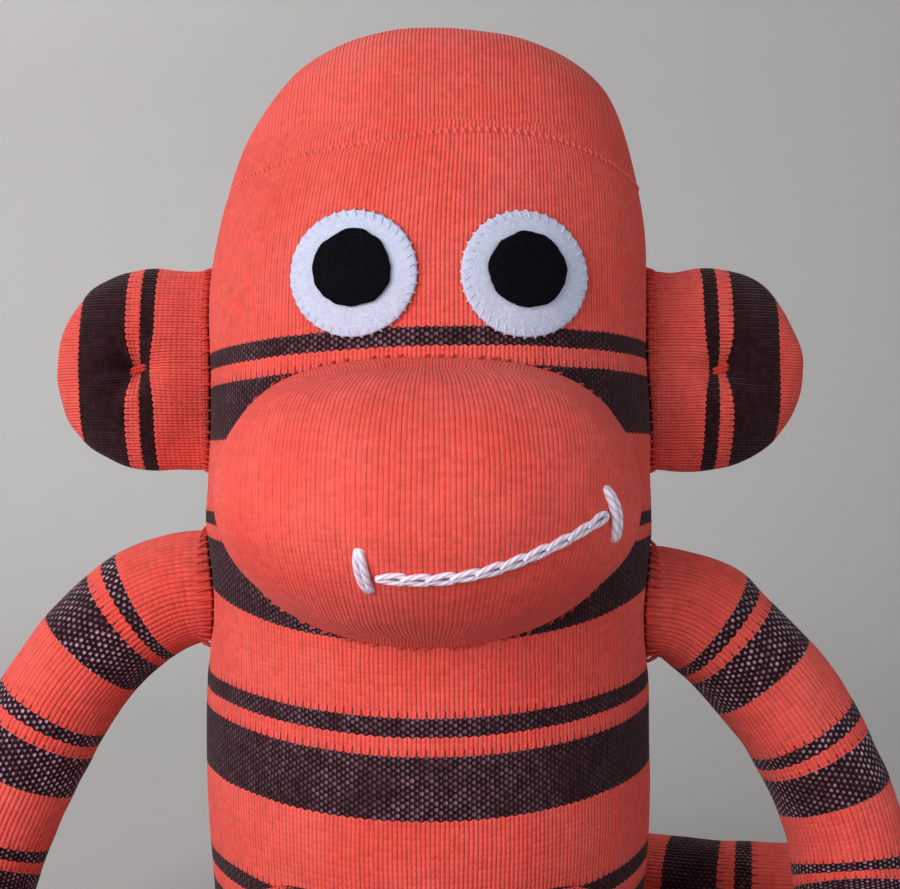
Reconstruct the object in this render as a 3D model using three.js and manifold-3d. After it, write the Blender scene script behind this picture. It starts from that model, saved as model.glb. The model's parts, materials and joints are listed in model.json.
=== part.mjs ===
// A hand-sewn sock monkey, sitting upright. Millimetres, +Z up, face towards -Y,
// origin at the centre of the flat seat. Left and right are the monkey's own:
// its left side is +X.
//
// Every stuffed part is a knitted skin round a core of stuffing. Skins are open where they
// are sewn on. Where one tube bends, at the neck, elbows, knees and tail, it is cut in two
// round a ball on the joint's axis, so that each half can turn without touching the other.

import * as THREE from 'three';
import { ParametricGeometry } from 'three/addons/geometries/ParametricGeometry.js';
import { mergeVertices } from 'three/addons/utils/BufferGeometryUtils.js';
import Module from 'manifold-3d';

// Driving dimensions

const CLOTH = 1.4; // thickness of the knit
const GAP = 0.5; // between a piece and the next
const BODY_SIDES = 18; // flat sides round the sock tube in this model
const TUBE_SIDES = 10; // and round an arm, leg or tail
const CUT_SIDES = 12; // and round the balls and bars that cut them
const THREAD = 0.5; // radius of a sewing thread

const BODY = {
  // [radius, height] of the sock tube, from the seat to the crown
  profile: [
    [36, 0], [43, 4], [47.5, 12], [49, 27], [51.7, 52], [50, 85], [51.5, 105], [50.5, 128],
    [50, 171], [48, 180.5], [45.8, 188], [42.8, 197], [38.4, 205], [31.5, 212.5], [20, 217.6],
    [0, 219],
  ],
  depth: 0.91, // front to back, as a share of the width
};
const NECK = { z: 85, radius: 54, gap: 1 }; // the ball that the head nods on
const MUZZLE = { centre: [1.3, -36, 117.6], half: [43.6, 46, 28.8] };
const EYE = { white: 13, black: 7.6, felt: 1.2, z: 161.8, left: 19, right: -14.3 };
const EAR = {
  z: 145, height: 48, reach: 29.5, hinge: 56.2, rootRadius: 5, thickness: 22, dimple: 10,
};
const SEAM = { z: 185.5, rise: 4.5, tilt: 1, radius: 0.8 }; // the toe seam over the forehead

const SHOULDER_RADIUS = 12;
const ARM_RADIUS = 14.25;
const ARM_RING = { x: 52.6, radius: 13 }; // the stitches that the arm swings with
const ARMS = {
  left: { path: [[61, 0, 92], [72, 0, 81], [84, 0, 66], [93, 0, 49], [96, 0, 30], [96, 0, 14.3]] },
  right: {
    path: [[-61.5, 0, 95.5], [-73, 0, 87], [-84, 0, 73], [-93, 0, 55], [-100, 0, 35],
      [-104, 0, 14.3]],
  },
};
const FOREARM = { reach: 66, inward: 11 };

const HIP = { x: 25, y: -30, z: 20, radius: 20 };
const LEG = { thigh: 78, shin: 68, splay: 0.12, knee: 18.5, foot: 19 };

const TAIL_RADIUS = 13.6;
const TAIL = {
  base: [[0, 58.6, 14.2], [24, 57, 13.9], [50, 48, 13.7], [75, 38, 13.6]],
  tip: [[75, 38, 13.6], [98, 34, 13.6], [118, 37, 13.6], [136, 46, 13.6]],
};

// How far each tube turns, in degrees down from straight ahead: the cuts clear these angles
const HIP_ANGLES = [-12, 0, 45, 88];
const KNEE_ANGLES = [-15, 0, 45, 90];
const ELBOW_ANGLES = [-32, 0, 30, 80];
const TAIL_ANGLES = [-10, 30, 75];

// Solids

const wasm = await Module();
wasm.setup();

/** A closed geometry as a solid that can be cut and joined. */
function solid(geometry) {
  const bare = new THREE.BufferGeometry();
  const flat = geometry.index ? geometry.toNonIndexed() : geometry;
  bare.setAttribute('position', flat.getAttribute('position'));
  const merged = mergeVertices(bare, 1e-3);
  const corners = merged.index.array;
  const kept = [];
  for (let i = 0; i < corners.length; i += 3) {
    const [a, b, c] = corners.subarray(i, i + 3);
    if (a !== b && b !== c && c !== a) kept.push(a, b, c);
  }
  const build = (triangles) => new wasm.Manifold(new wasm.Mesh({
    numProp: 3,
    vertProperties: new Float32Array(merged.getAttribute('position').array),
    triVerts: new Uint32Array(triangles),
  }));
  const made = build(kept);
  return made.volume() > 0 ? made : build(kept.reverse());
}

function vector(point) {
  return new THREE.Vector3(...point);
}

function box(low, high) {
  const size = vector(high).sub(vector(low));
  const middle = vector(high).add(vector(low)).multiplyScalar(0.5);
  return solid(new THREE.BoxGeometry(size.x, size.y, size.z).translate(...middle.toArray()));
}

function ball(centre, radius, around = CUT_SIDES) {
  const geometry = new THREE.SphereGeometry(radius, around, Math.round(around * 0.7));
  return solid(geometry.translate(...centre));
}

/** The radius of a faceted ball or bar whose flat sides clear a radius. */
function aroundRadius(radius) {
  return radius / Math.cos(Math.PI / CUT_SIDES);
}

/** A round bar from a point along a direction. */
function bar(from, direction, radius, length, around = CUT_SIDES) {
  const along = vector(direction).normalize();
  const turn = new THREE.Quaternion().setFromUnitVectors(new THREE.Vector3(0, 1, 0), along);
  const middle = vector(from).addScaledVector(along, length / 2);
  const geometry = new THREE.CylinderGeometry(radius, radius, length, around);
  return solid(geometry.applyQuaternion(turn).translate(...middle.toArray()));
}

function curveThrough(points, closed = false) {
  return new THREE.CatmullRomCurve3(points.map(vector), closed, 'centripetal');
}

/**
 * A tube with round ends along a curve. radiusAt gives its radius at each share of the
 * curve's length, and across is a direction that the curve never runs along.
 */
function tube(curve, radiusAt, across, options = {}) {
  const { inset = 0, around = TUBE_SIDES, steps = 5, cap = 2 } = options;
  const stacks = steps + 2 * cap;
  const round = (u, v, target) => {
    const step = v * stacks;
    const onCurve = THREE.MathUtils.clamp((step - cap) / steps, 0, 1);
    const before = Math.max(0, cap - step) / cap;
    const after = Math.max(0, step - cap - steps) / cap;
    const rise = (Math.PI / 2) * (after - before);
    const radius = radiusAt(onCurve) - inset;
    const ahead = curve.getTangentAt(onCurve);
    const side = new THREE.Vector3().crossVectors(vector(across), ahead).normalize();
    const up = new THREE.Vector3().crossVectors(ahead, side);
    const angle = 2 * Math.PI * u;
    target.copy(curve.getPointAt(onCurve))
      .addScaledVector(ahead, radius * Math.sin(rise))
      .addScaledVector(side, radius * Math.cos(rise) * Math.cos(angle))
      .addScaledVector(up, radius * Math.cos(rise) * Math.sin(angle));
  };
  return solid(new ParametricGeometry(round, around, stacks));
}

/** A sewn line of thread through points. */
function thread(points, across, radius = THREAD, steps = 3 * points.length) {
  return tube(curveThrough(points), () => radius, across, { around: 5, steps, cap: 1 });
}

/** A closed ring of thread: pointAt gives its points by angle. */
function threadRing(pointAt, steps = 20, radius = THREAD) {
  const points = [];
  for (let i = 0; i < steps; i += 1) points.push(pointAt((2 * Math.PI * i) / steps));
  return solid(new THREE.TubeGeometry(curveThrough(points, true), steps, radius, 4, true));
}

/** What a tube of this radius sweeps as it turns down by each angle about X. */
function bendCut(pivot, tubeRadius, angles, splay = 0, reach = 60) {
  const radius = aroundRadius(tubeRadius);
  let cut = ball(pivot, radius);
  for (const degrees of angles) {
    const angle = THREE.MathUtils.degToRad(degrees);
    const direction = [splay, -Math.cos(angle), -Math.sin(angle)];
    cut = cut.add(bar(pivot, direction, radius, reach));
  }
  return cut;
}

// The model: one group for each body that moves, at its joint

const monkey = new THREE.Group();

const FINISHES = {
  knit: { color: 0xd9584c, roughness: 0.95, metalness: 0 },
  striped: { color: 0xb94a42, roughness: 0.95, metalness: 0 },
  filling: { color: 0xf2efe8, roughness: 1, metalness: 0 },
  whiteFelt: { color: 0xe9ecf2, roughness: 1, metalness: 0 },
  blackFelt: { color: 0x0d1016, roughness: 1, metalness: 0 },
  whiteThread: { color: 0xf4f3f5, roughness: 0.7, metalness: 0 },
  redThread: { color: 0xcf4a3a, roughness: 0.7, metalness: 0 },
};

function bodyGroup(pivot, parent = monkey) {
  const group = new THREE.Group();
  group.position.copy(vector(pivot));
  group.userData.pivot = vector(pivot);
  if (parent !== monkey) group.position.sub(parent.userData.pivot);
  parent.add(group);
  return group;
}

/** Adds a solid, given in the whole toy's frame, to a group as a named sub-part. */
function piece(group, name, form, finish) {
  const { vertProperties, triVerts } = form.getMesh();
  const geometry = new THREE.BufferGeometry();
  geometry.setAttribute('position', new THREE.BufferAttribute(vertProperties, 3));
  geometry.setIndex(new THREE.BufferAttribute(triVerts, 1));
  const { x, y, z } = group.userData.pivot;
  geometry.translate(-x, -y, -z);
  geometry.computeVertexNormals();
  const mesh = new THREE.Mesh(geometry, new THREE.MeshStandardMaterial(FINISHES[finish]));
  mesh.name = name;
  group.add(mesh);
}

// Head and torso: one sock tube

/** The sock tube's form, moved in by an inset. */
function bodyForm(inset) {
  const points = BODY.profile.map(([r, z]) => new THREE.Vector2(r, z));
  points.unshift(new THREE.Vector2(0, 0));
  const moved = points.map((point, i) => {
    const before = points[Math.max(i - 1, 0)];
    const after = points[Math.min(i + 1, points.length - 1)];
    const run = after.clone().sub(before).normalize();
    return new THREE.Vector2(Math.max(point.x - run.y * inset, 0), point.y + run.x * inset);
  });
  moved[0].set(0, inset);
  moved[1].set(BODY.profile[0][0] - inset / 2, inset);
  moved.at(-1).set(0, BODY.profile.at(-1)[1] - inset);
  const lathe = new THREE.LatheGeometry(moved, BODY_SIDES).rotateX(Math.PI / 2);
  return solid(lathe.scale(1, BODY.depth, 1));
}

function bodyRadius(z) {
  const above = BODY.profile.findIndex(([, height]) => height >= z);
  const [[r0, z0], [r1, z1]] = BODY.profile.slice(above - 1, above + 1);
  return THREE.MathUtils.mapLinear(z, z0, z1, r0, r1);
}

/** The front of the sock tube at x and z, out by a clearance. */
function bodyFront(x, z, clearance = 0) {
  const share = x / bodyRadius(z);
  return [x, -(bodyRadius(z) * BODY.depth * Math.sqrt(1 - share * share)) - clearance, z];
}

/** The side of the sock tube at y and z. side is 1 for +X and -1 for -X. */
function bodySide(side, y, z, clearance = 0) {
  const share = y / (bodyRadius(z) * BODY.depth);
  return [side * (bodyRadius(z) * Math.sqrt(1 - share * share) + clearance), y, z];
}

const neckBall = (radius) => ball([0, 0, NECK.z], radius, 18);
const aboveNeck = box([-90, -90, NECK.z], [90, 90, 240]);
const headSpace = aboveNeck.subtract(neckBall(NECK.radius + NECK.gap));
const torsoSpace = box([-90, -90, -10], [90, 90, 240])
  .subtract(aboveNeck.subtract(neckBall(NECK.radius - NECK.gap)));

const fullBody = bodyForm(0);
const lining = bodyForm(CLOTH);
const filling = bodyForm(CLOTH + GAP);

const torso = bodyGroup([0, 0, 0]);
const head = bodyGroup([0, 0, NECK.z]);

const limbHollows = [];
for (const side of [1, -1]) {
  const hip = [side * HIP.x, HIP.y, HIP.z];
  limbHollows.push(bendCut(hip, HIP.radius + GAP, HIP_ANGLES, side * LEG.splay));
}
for (const arm of Object.values(ARMS)) {
  limbHollows.push(ball(arm.path[0], aroundRadius(SHOULDER_RADIUS + GAP)));
}
limbHollows.push(box([-90, -90, -10], [90, HIP.y, HIP.z])); // the legs fill the front below
const hollow = limbHollows.reduce((all, next) => all.add(next));

const tubeWall = fullBody.subtract(lining);
piece(torso, 'torso_skin', tubeWall.intersect(torsoSpace).subtract(hollow), 'striped');
piece(torso, 'torso_stuffing', filling.intersect(torsoSpace).subtract(hollow), 'filling');
piece(head, 'head_skin', tubeWall.intersect(headSpace), 'striped');
piece(head, 'head_stuffing', filling.intersect(headSpace), 'filling');

const SEAM_STEPS = 8;
const seamLine = [];
for (let i = 0; i <= SEAM_STEPS; i += 1) {
  const angle = (Math.PI * (0.08 + (0.84 * i) / SEAM_STEPS));
  const z = SEAM.z + SEAM.rise * Math.sin(angle) + SEAM.tilt * Math.cos(angle);
  const r = bodyRadius(z) + SEAM.radius + GAP;
  seamLine.push([r * Math.cos(angle), -r * BODY.depth * Math.sin(angle), z]);
}
piece(head, 'toe_seam', thread(seamLine, [0, 0, 1], SEAM.radius, 14), 'knit');

// Muzzle, eyes and mouth

/** A closed dome with the muzzle's form, moved in by an inset. */
function muzzleForm(inset) {
  const geometry = new THREE.SphereGeometry(1, 14, 9);
  geometry.rotateX(Math.PI / 2);
  geometry.scale(...MUZZLE.half.map((half) => half - inset));
  return solid(geometry.translate(...MUZZLE.centre));
}

/** A point on the muzzle's front at x and z, out by a clearance. */
function muzzleFront(x, z, clearance) {
  const [cx, cy, cz] = MUZZLE.centre;
  const [a, b, c] = MUZZLE.half;
  const share = 1 - ((x - cx) / a) ** 2 - ((z - cz) / c) ** 2;
  const at = new THREE.Vector3(x, cy - b * Math.sqrt(share), z);
  const out = new THREE.Vector3((x - cx) / a ** 2, (at.y - cy) / b ** 2, (z - cz) / c ** 2);
  return at.addScaledVector(out.normalize(), clearance).toArray();
}

const headCut = bodyForm(-GAP).add(neckBall(NECK.radius + NECK.gap));
const muzzleWall = muzzleForm(0).subtract(muzzleForm(CLOTH));
piece(head, 'muzzle_skin', muzzleWall.subtract(headCut), 'knit');
piece(head, 'muzzle_stuffing', muzzleForm(CLOTH + GAP).subtract(headCut), 'filling');

const muzzleEdge = [];
for (let degrees = 4; degrees <= 176; degrees += 14.3) {
  const angle = THREE.MathUtils.degToRad(degrees);
  const x = MUZZLE.centre[0] + (MUZZLE.half[0] + 1.6) * Math.cos(angle);
  const z = MUZZLE.centre[2] + (MUZZLE.half[2] + 1.6) * Math.sin(angle);
  muzzleEdge.push(bodyFront(x, z, THREAD + GAP));
}
piece(head, 'muzzle_stitches', thread(muzzleEdge, [0, 1, 0], THREAD, 20), 'redThread');

for (const side of ['left', 'right']) {
  const middle = vector(bodyFront(EYE[side], EYE.z, 0));
  const out = new THREE.Vector3(middle.x, middle.y / BODY.depth ** 2, 0).normalize();
  const disc = (r, lift) => {
    const from = middle.clone().addScaledVector(out, lift);
    return bar(from.toArray(), out.toArray(), r, EYE.felt, 24);
  };
  const across = new THREE.Vector3(0, 0, 1).cross(out);
  const ring = threadRing((angle) => middle.clone()
    .addScaledVector(out, GAP + EYE.felt / 2)
    .addScaledVector(across, (EYE.white + THREAD + GAP) * Math.cos(angle))
    .add(new THREE.Vector3(0, 0, (EYE.white + THREAD + GAP) * Math.sin(angle)))
    .toArray(), 24);
  piece(head, `eye_white_${side}`, disc(EYE.white, GAP), 'whiteFelt');
  piece(head, `eye_black_${side}`, disc(EYE.black, 2 * GAP + EYE.felt), 'blackFelt');
  piece(head, `eye_stitches_${side}`, ring, 'whiteThread');
}

const FLOSS = 1.1; // radius of the mouth's chain
const onMuzzle = (points) => points.map(([x, z]) => muzzleFront(x, z, FLOSS + GAP));
const smile = onMuzzle([
  [-7, 105.2], [1.5, 104.6], [10, 105.4], [18, 108.2], [26, 111.3], [29.6, 113.6],
]);
const barRight = onMuzzle([[-11.4, 110.3], [-10.3, 102.4]]);
const barLeft = onMuzzle([[32.2, 120.4], [33.9, 116.2], [33, 110]]);
piece(head, 'mouth_chain_stitch', thread(smile, [0, 0, 1], FLOSS, 12), 'whiteThread');
piece(head, 'mouth_bar_right', thread(barRight, [0, 1, 0], FLOSS * 0.8, 3), 'whiteThread');
piece(head, 'mouth_bar_left', thread(barLeft, [0, 1, 0], FLOSS * 0.8, 5), 'whiteThread');

// Ears: flat D-shaped cushions on a vertical hinge line

/** An ear's form: sections from its root line out to its tip, moved in by an inset. */
function earForm(side, inset) {
  const back = EAR.rootRadius - inset;
  const tip = EAR.reach - inset;
  const section = (u, v, target) => {
    const x = THREE.MathUtils.lerp(-back, tip, (1 - Math.cos(Math.PI * v)) / 2);
    const share = THREE.MathUtils.clamp(x / tip, 0, 1);
    const bulge = EAR.thickness / 2 - EAR.rootRadius;
    const swell = EAR.rootRadius + bulge * Math.sin(Math.PI * share) ** 2 * 1.1;
    const round = x < 0 ? Math.sqrt(1 - (x / back) ** 2) : Math.sqrt(1 - share ** 3);
    const half = (EAR.height / 2 - inset) * (x < 0 ? 0.93 : Math.sqrt(1 - share ** 2.6));
    const angle = 2 * Math.PI * u;
    const y = (swell - inset) * round * Math.cos(angle);
    target.set(side * (EAR.hinge + x), y, EAR.z + half * Math.sin(angle));
  };
  return solid(new ParametricGeometry(section, 12, 8));
}

const DIMPLE_HOLE = 1.1;
for (const [name, side] of [['left', 1], ['right', -1]]) {
  const ear = bodyGroup([side * EAR.hinge, 0, EAR.z], head);
  const half = EAR.thickness / 2 + 2;
  const dimple = [side * (EAR.hinge + EAR.dimple), half, EAR.z];
  const hole = bar(dimple, [0, -1, 0], DIMPLE_HOLE, 2 * half, 6);
  const rootLow = [side * EAR.hinge - 8, -1.6, EAR.z - 15];
  const rootHigh = [side * EAR.hinge + 8, 1.6, EAR.z + 15];
  const wall = earForm(side, 0).subtract(earForm(side, CLOTH));
  const skin = wall.subtract(hole).subtract(box(rootLow, rootHigh));
  piece(ear, `ear_skin_${name}`, skin, 'striped');
  const core = earForm(side, CLOTH + GAP).subtract(hole);
  piece(ear, `ear_stuffing_${name}`, core, 'filling');
  const [x, y, z] = dimple;
  const stitch = thread([[x, y, z], [x, 0, z], [x, -y, z]], [1, 0, 0], THREAD, 2)
    .add(ball([x, y, z], 1.6, 6)).add(ball([x, -y, z], 1.6, 6));
  piece(ear, `ear_dimple_thread_${name}`, stitch, 'redThread');
  const around = (angle) => bodySide(
    side,
    (EAR.rootRadius + 1) * Math.cos(angle),
    EAR.z + (EAR.height / 2 + 0.8) * Math.sin(angle),
    THREAD + GAP,
  );
  piece(head, `ear_stitches_${name}`, threadRing(around, 18), 'redThread');
}

// Arms

/** The skin and the core of a tube with a round hole in the end that it hangs by. */
function stuffedTube(points, radiusAt, across, cut, steps = 4) {
  const curve = curveThrough(points);
  const form = (inset) => tube(curve, radiusAt, across, { inset, steps });
  const opening = bar(
    points[0],
    curve.getTangentAt(0).negate().toArray(),
    radiusAt(0) * 0.45,
    radiusAt(0) * 2,
    8,
  );
  const wall = form(0).subtract(form(CLOTH)).subtract(opening);
  const core = form(CLOTH + GAP);
  return cut ? [wall.subtract(cut), core.subtract(cut)] : [wall, core];
}

/** A gathered ring of thread that closes a tube's end at the last of its points. */
function gather(points, radius) {
  const curve = curveThrough(points);
  const out = curve.getTangentAt(1);
  const centre = curve.getPointAt(1).addScaledVector(out, radius + GAP - 0.2);
  const side = new THREE.Vector3(0, 0, 1).cross(out).normalize();
  const up = new THREE.Vector3().crossVectors(out, side);
  return threadRing((angle) => centre.clone()
    .addScaledVector(side, 2.4 * Math.cos(angle))
    .addScaledVector(up, 2.4 * Math.sin(angle)).toArray(), 8, 0.6);
}

for (const [name, { path }] of Object.entries(ARMS)) {
  const side = Math.sign(path[0][0]);
  const elbow = path.at(-1);
  const shoulder = bodyGroup(path[0], torso);
  const upper = bodyGroup(path[0], shoulder);
  const lower = bodyGroup(elbow, upper);
  const paw = [
    elbow,
    [elbow[0] - side * FOREARM.inward * 0.35, elbow[1] - FOREARM.reach / 2, ARM_RADIUS],
    [elbow[0] - side * FOREARM.inward, elbow[1] - FOREARM.reach, ARM_RADIUS],
  ];
  const widening = (t) => THREE.MathUtils.lerp(
    SHOULDER_RADIUS, ARM_RADIUS, THREE.MathUtils.smoothstep(t, 0, 0.3),
  );
  const bend = bendCut(elbow, ARM_RADIUS + 1.5 * GAP, ELBOW_ANGLES);
  const [skin, core] = stuffedTube(path, widening, [0, 1, 0], bend, 6);
  piece(upper, `upper_arm_skin_${name}`, skin, 'striped');
  piece(upper, `upper_arm_stuffing_${name}`, core, 'filling');
  const [cuff, pad] = stuffedTube(paw, () => ARM_RADIUS, [0, 0, 1], null, 3);
  piece(lower, `forearm_skin_${name}`, cuff, 'striped');
  piece(lower, `forearm_stuffing_${name}`, pad, 'filling');
  piece(lower, `paw_gather_${name}`, gather(paw, ARM_RADIUS), 'redThread');

  const [, , z] = path[0];
  const ring = (angle) => [
    side * ARM_RING.x,
    ARM_RING.radius * Math.cos(angle),
    z + ARM_RING.radius * Math.sin(angle),
  ];
  piece(shoulder, `arm_stitches_${name}`, threadRing(ring, 16), 'redThread');
}

// Legs

for (const [name, side] of [['left', 1], ['right', -1]]) {
  const hip = [side * HIP.x, HIP.y, HIP.z];
  const knee = [hip[0] + side * LEG.splay * LEG.thigh, hip[1] - LEG.thigh, LEG.knee];
  const foot = [knee[0] + side * LEG.splay * LEG.shin, knee[1] - LEG.shin, LEG.foot];
  const middle = vector(knee).lerp(vector(foot), 0.5).toArray();
  const thigh = bodyGroup(hip, torso);
  const shin = bodyGroup(knee, thigh);
  const bend = bendCut(knee, LEG.knee + GAP, KNEE_ANGLES, side * LEG.splay);
  const upperRadius = (t) => THREE.MathUtils.lerp(HIP.radius, LEG.knee, t);
  const lowerRadius = (t) => THREE.MathUtils.lerp(LEG.knee, LEG.foot, t);
  const [skin, core] = stuffedTube([hip, knee], upperRadius, [1, 0, 0], bend, 3);
  piece(thigh, `thigh_skin_${name}`, skin, 'striped');
  piece(thigh, `thigh_stuffing_${name}`, core, 'filling');
  const [sock, pad] = stuffedTube([knee, middle, foot], lowerRadius, [1, 0, 0], null, 3);
  piece(shin, `shin_skin_${name}`, sock, 'striped');
  piece(shin, `shin_stuffing_${name}`, pad, 'filling');
  piece(shin, `foot_gather_${name}`, gather([knee, middle, foot], LEG.foot), 'redThread');
}

// Tail, lying on the floor beside the body

/** What the tail's tip sweeps as it curls about Z. */
function curlCut(pivot, ahead, tubeRadius) {
  const radius = aroundRadius(tubeRadius);
  let cut = ball(pivot, radius);
  for (const degrees of TAIL_ANGLES) {
    const turned = ahead.clone()
      .applyAxisAngle(new THREE.Vector3(0, 0, 1), THREE.MathUtils.degToRad(degrees));
    cut = cut.add(bar(pivot, turned.toArray(), radius, 30));
  }
  return cut;
}

const tailBase = bodyGroup(TAIL.base[0], torso);
const tailTip = bodyGroup(TAIL.tip[0], tailBase);
const curlAhead = curveThrough(TAIL.tip).getTangentAt(0);
const curl = curlCut(TAIL.tip[0], curlAhead, TAIL_RADIUS + GAP);
const tailRadius = () => TAIL_RADIUS;
const [baseSkin, baseCore] = stuffedTube(TAIL.base, tailRadius, [0, 0, 1], curl, 5);
const [tipSkin, tipCore] = stuffedTube(TAIL.tip, tailRadius, [0, 0, 1], null, 4);
piece(tailBase, 'tail_base_skin', baseSkin, 'striped');
piece(tailBase, 'tail_base_stuffing', baseCore, 'filling');
piece(tailTip, 'tail_tip_skin', tipSkin, 'striped');
piece(tailTip, 'tail_tip_stuffing', tipCore, 'filling');
piece(tailTip, 'tail_gather', gather(TAIL.tip, TAIL_RADIUS), 'redThread');

export default monkey;
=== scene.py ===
"""A hand-sewn sock monkey: knitted skins over stuffing, felt eyes and a floss mouth.

Sizes are written in millimetres, and a mesh is in metres, in the shared frame: +X is the
monkey's left, +Z is up, and it faces -Y.
"""

import json
import logging
import math
from dataclasses import dataclass, field
from enum import Enum
from typing import Callable, Sequence

import bmesh
import bpy
import numpy as np
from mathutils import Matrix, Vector, noise
from mathutils.bvhtree import BVHTree

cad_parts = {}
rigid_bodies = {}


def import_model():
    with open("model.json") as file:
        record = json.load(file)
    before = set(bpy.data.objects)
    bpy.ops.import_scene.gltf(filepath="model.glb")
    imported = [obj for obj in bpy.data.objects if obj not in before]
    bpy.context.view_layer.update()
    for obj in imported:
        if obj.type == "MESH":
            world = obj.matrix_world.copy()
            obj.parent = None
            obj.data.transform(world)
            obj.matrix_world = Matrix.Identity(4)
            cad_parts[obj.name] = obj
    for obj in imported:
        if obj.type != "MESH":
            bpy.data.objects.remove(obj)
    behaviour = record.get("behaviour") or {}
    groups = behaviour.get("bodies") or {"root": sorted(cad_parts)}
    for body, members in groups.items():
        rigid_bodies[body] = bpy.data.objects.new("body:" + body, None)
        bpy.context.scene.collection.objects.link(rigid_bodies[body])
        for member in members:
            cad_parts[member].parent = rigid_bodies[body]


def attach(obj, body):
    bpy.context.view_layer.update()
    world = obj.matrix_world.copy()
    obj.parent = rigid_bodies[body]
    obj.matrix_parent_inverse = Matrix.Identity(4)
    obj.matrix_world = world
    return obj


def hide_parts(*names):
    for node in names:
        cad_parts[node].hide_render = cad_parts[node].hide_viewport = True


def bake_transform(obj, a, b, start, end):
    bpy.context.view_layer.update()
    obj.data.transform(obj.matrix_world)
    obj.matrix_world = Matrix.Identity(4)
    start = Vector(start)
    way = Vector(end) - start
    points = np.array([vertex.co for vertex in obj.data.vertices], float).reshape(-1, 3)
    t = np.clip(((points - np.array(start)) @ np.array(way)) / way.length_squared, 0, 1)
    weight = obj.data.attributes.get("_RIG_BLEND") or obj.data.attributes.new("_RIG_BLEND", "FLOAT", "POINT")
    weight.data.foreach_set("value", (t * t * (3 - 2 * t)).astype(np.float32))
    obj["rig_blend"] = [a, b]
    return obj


MM = 0.001
SEED = 4127
KNIT_MAP = "knit"
PLY_MAP = "ply"
LOG = logging.getLogger("sock_monkey")

Colour = tuple[float, float, float]
Point = tuple[float, float, float]


class Side(Enum):
    """The monkey's own left and right, as the sign of X."""

    LEFT = 1
    RIGHT = -1

    @property
    def word(self) -> str:
        """The side as the record's names write it."""
        return self.name.lower()


class Wire:
    """A socket's value inside a material, with the arithmetic of an ordinary number."""

    def __init__(self, shader: "Shader", socket: bpy.types.NodeSocket) -> None:
        """Args:
        shader: the material that the socket belongs to.
        socket: the output socket.
        """
        self.shader = shader
        self.socket = socket

    def __add__(self, other: "Wire | float") -> "Wire":
        """Sum."""
        return self.shader.maths("ADD", self, other)

    def __radd__(self, other: float) -> "Wire":
        """Sum with the number first."""
        return self.shader.maths("ADD", other, self)

    def __sub__(self, other: "Wire | float") -> "Wire":
        """Difference."""
        return self.shader.maths("SUBTRACT", self, other)

    def __rsub__(self, other: float) -> "Wire":
        """Difference with the number first."""
        return self.shader.maths("SUBTRACT", other, self)

    def __mul__(self, other: "Wire | float") -> "Wire":
        """Product."""
        return self.shader.maths("MULTIPLY", self, other)

    def __rmul__(self, other: float) -> "Wire":
        """Product with the number first."""
        return self.shader.maths("MULTIPLY", other, self)

    def __truediv__(self, other: "Wire | float") -> "Wire":
        """Quotient."""
        return self.shader.maths("DIVIDE", self, other)

    def __mod__(self, other: "Wire | float") -> "Wire":
        """Remainder, never negative."""
        return self.shader.maths("FLOORED_MODULO", self, other)

    def __pow__(self, other: "Wire | float") -> "Wire":
        """Power."""
        return self.shader.maths("POWER", self, other)

    def __gt__(self, other: "Wire | float") -> "Wire":
        """One where this is more."""
        return self.shader.maths("GREATER_THAN", self, other)

    def __lt__(self, other: "Wire | float") -> "Wire":
        """One where this is less."""
        return self.shader.maths("LESS_THAN", self, other)

    def __abs__(self) -> "Wire":
        """Size without sign."""
        return self.shader.maths("ABSOLUTE", self)


Value = Wire | float


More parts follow.
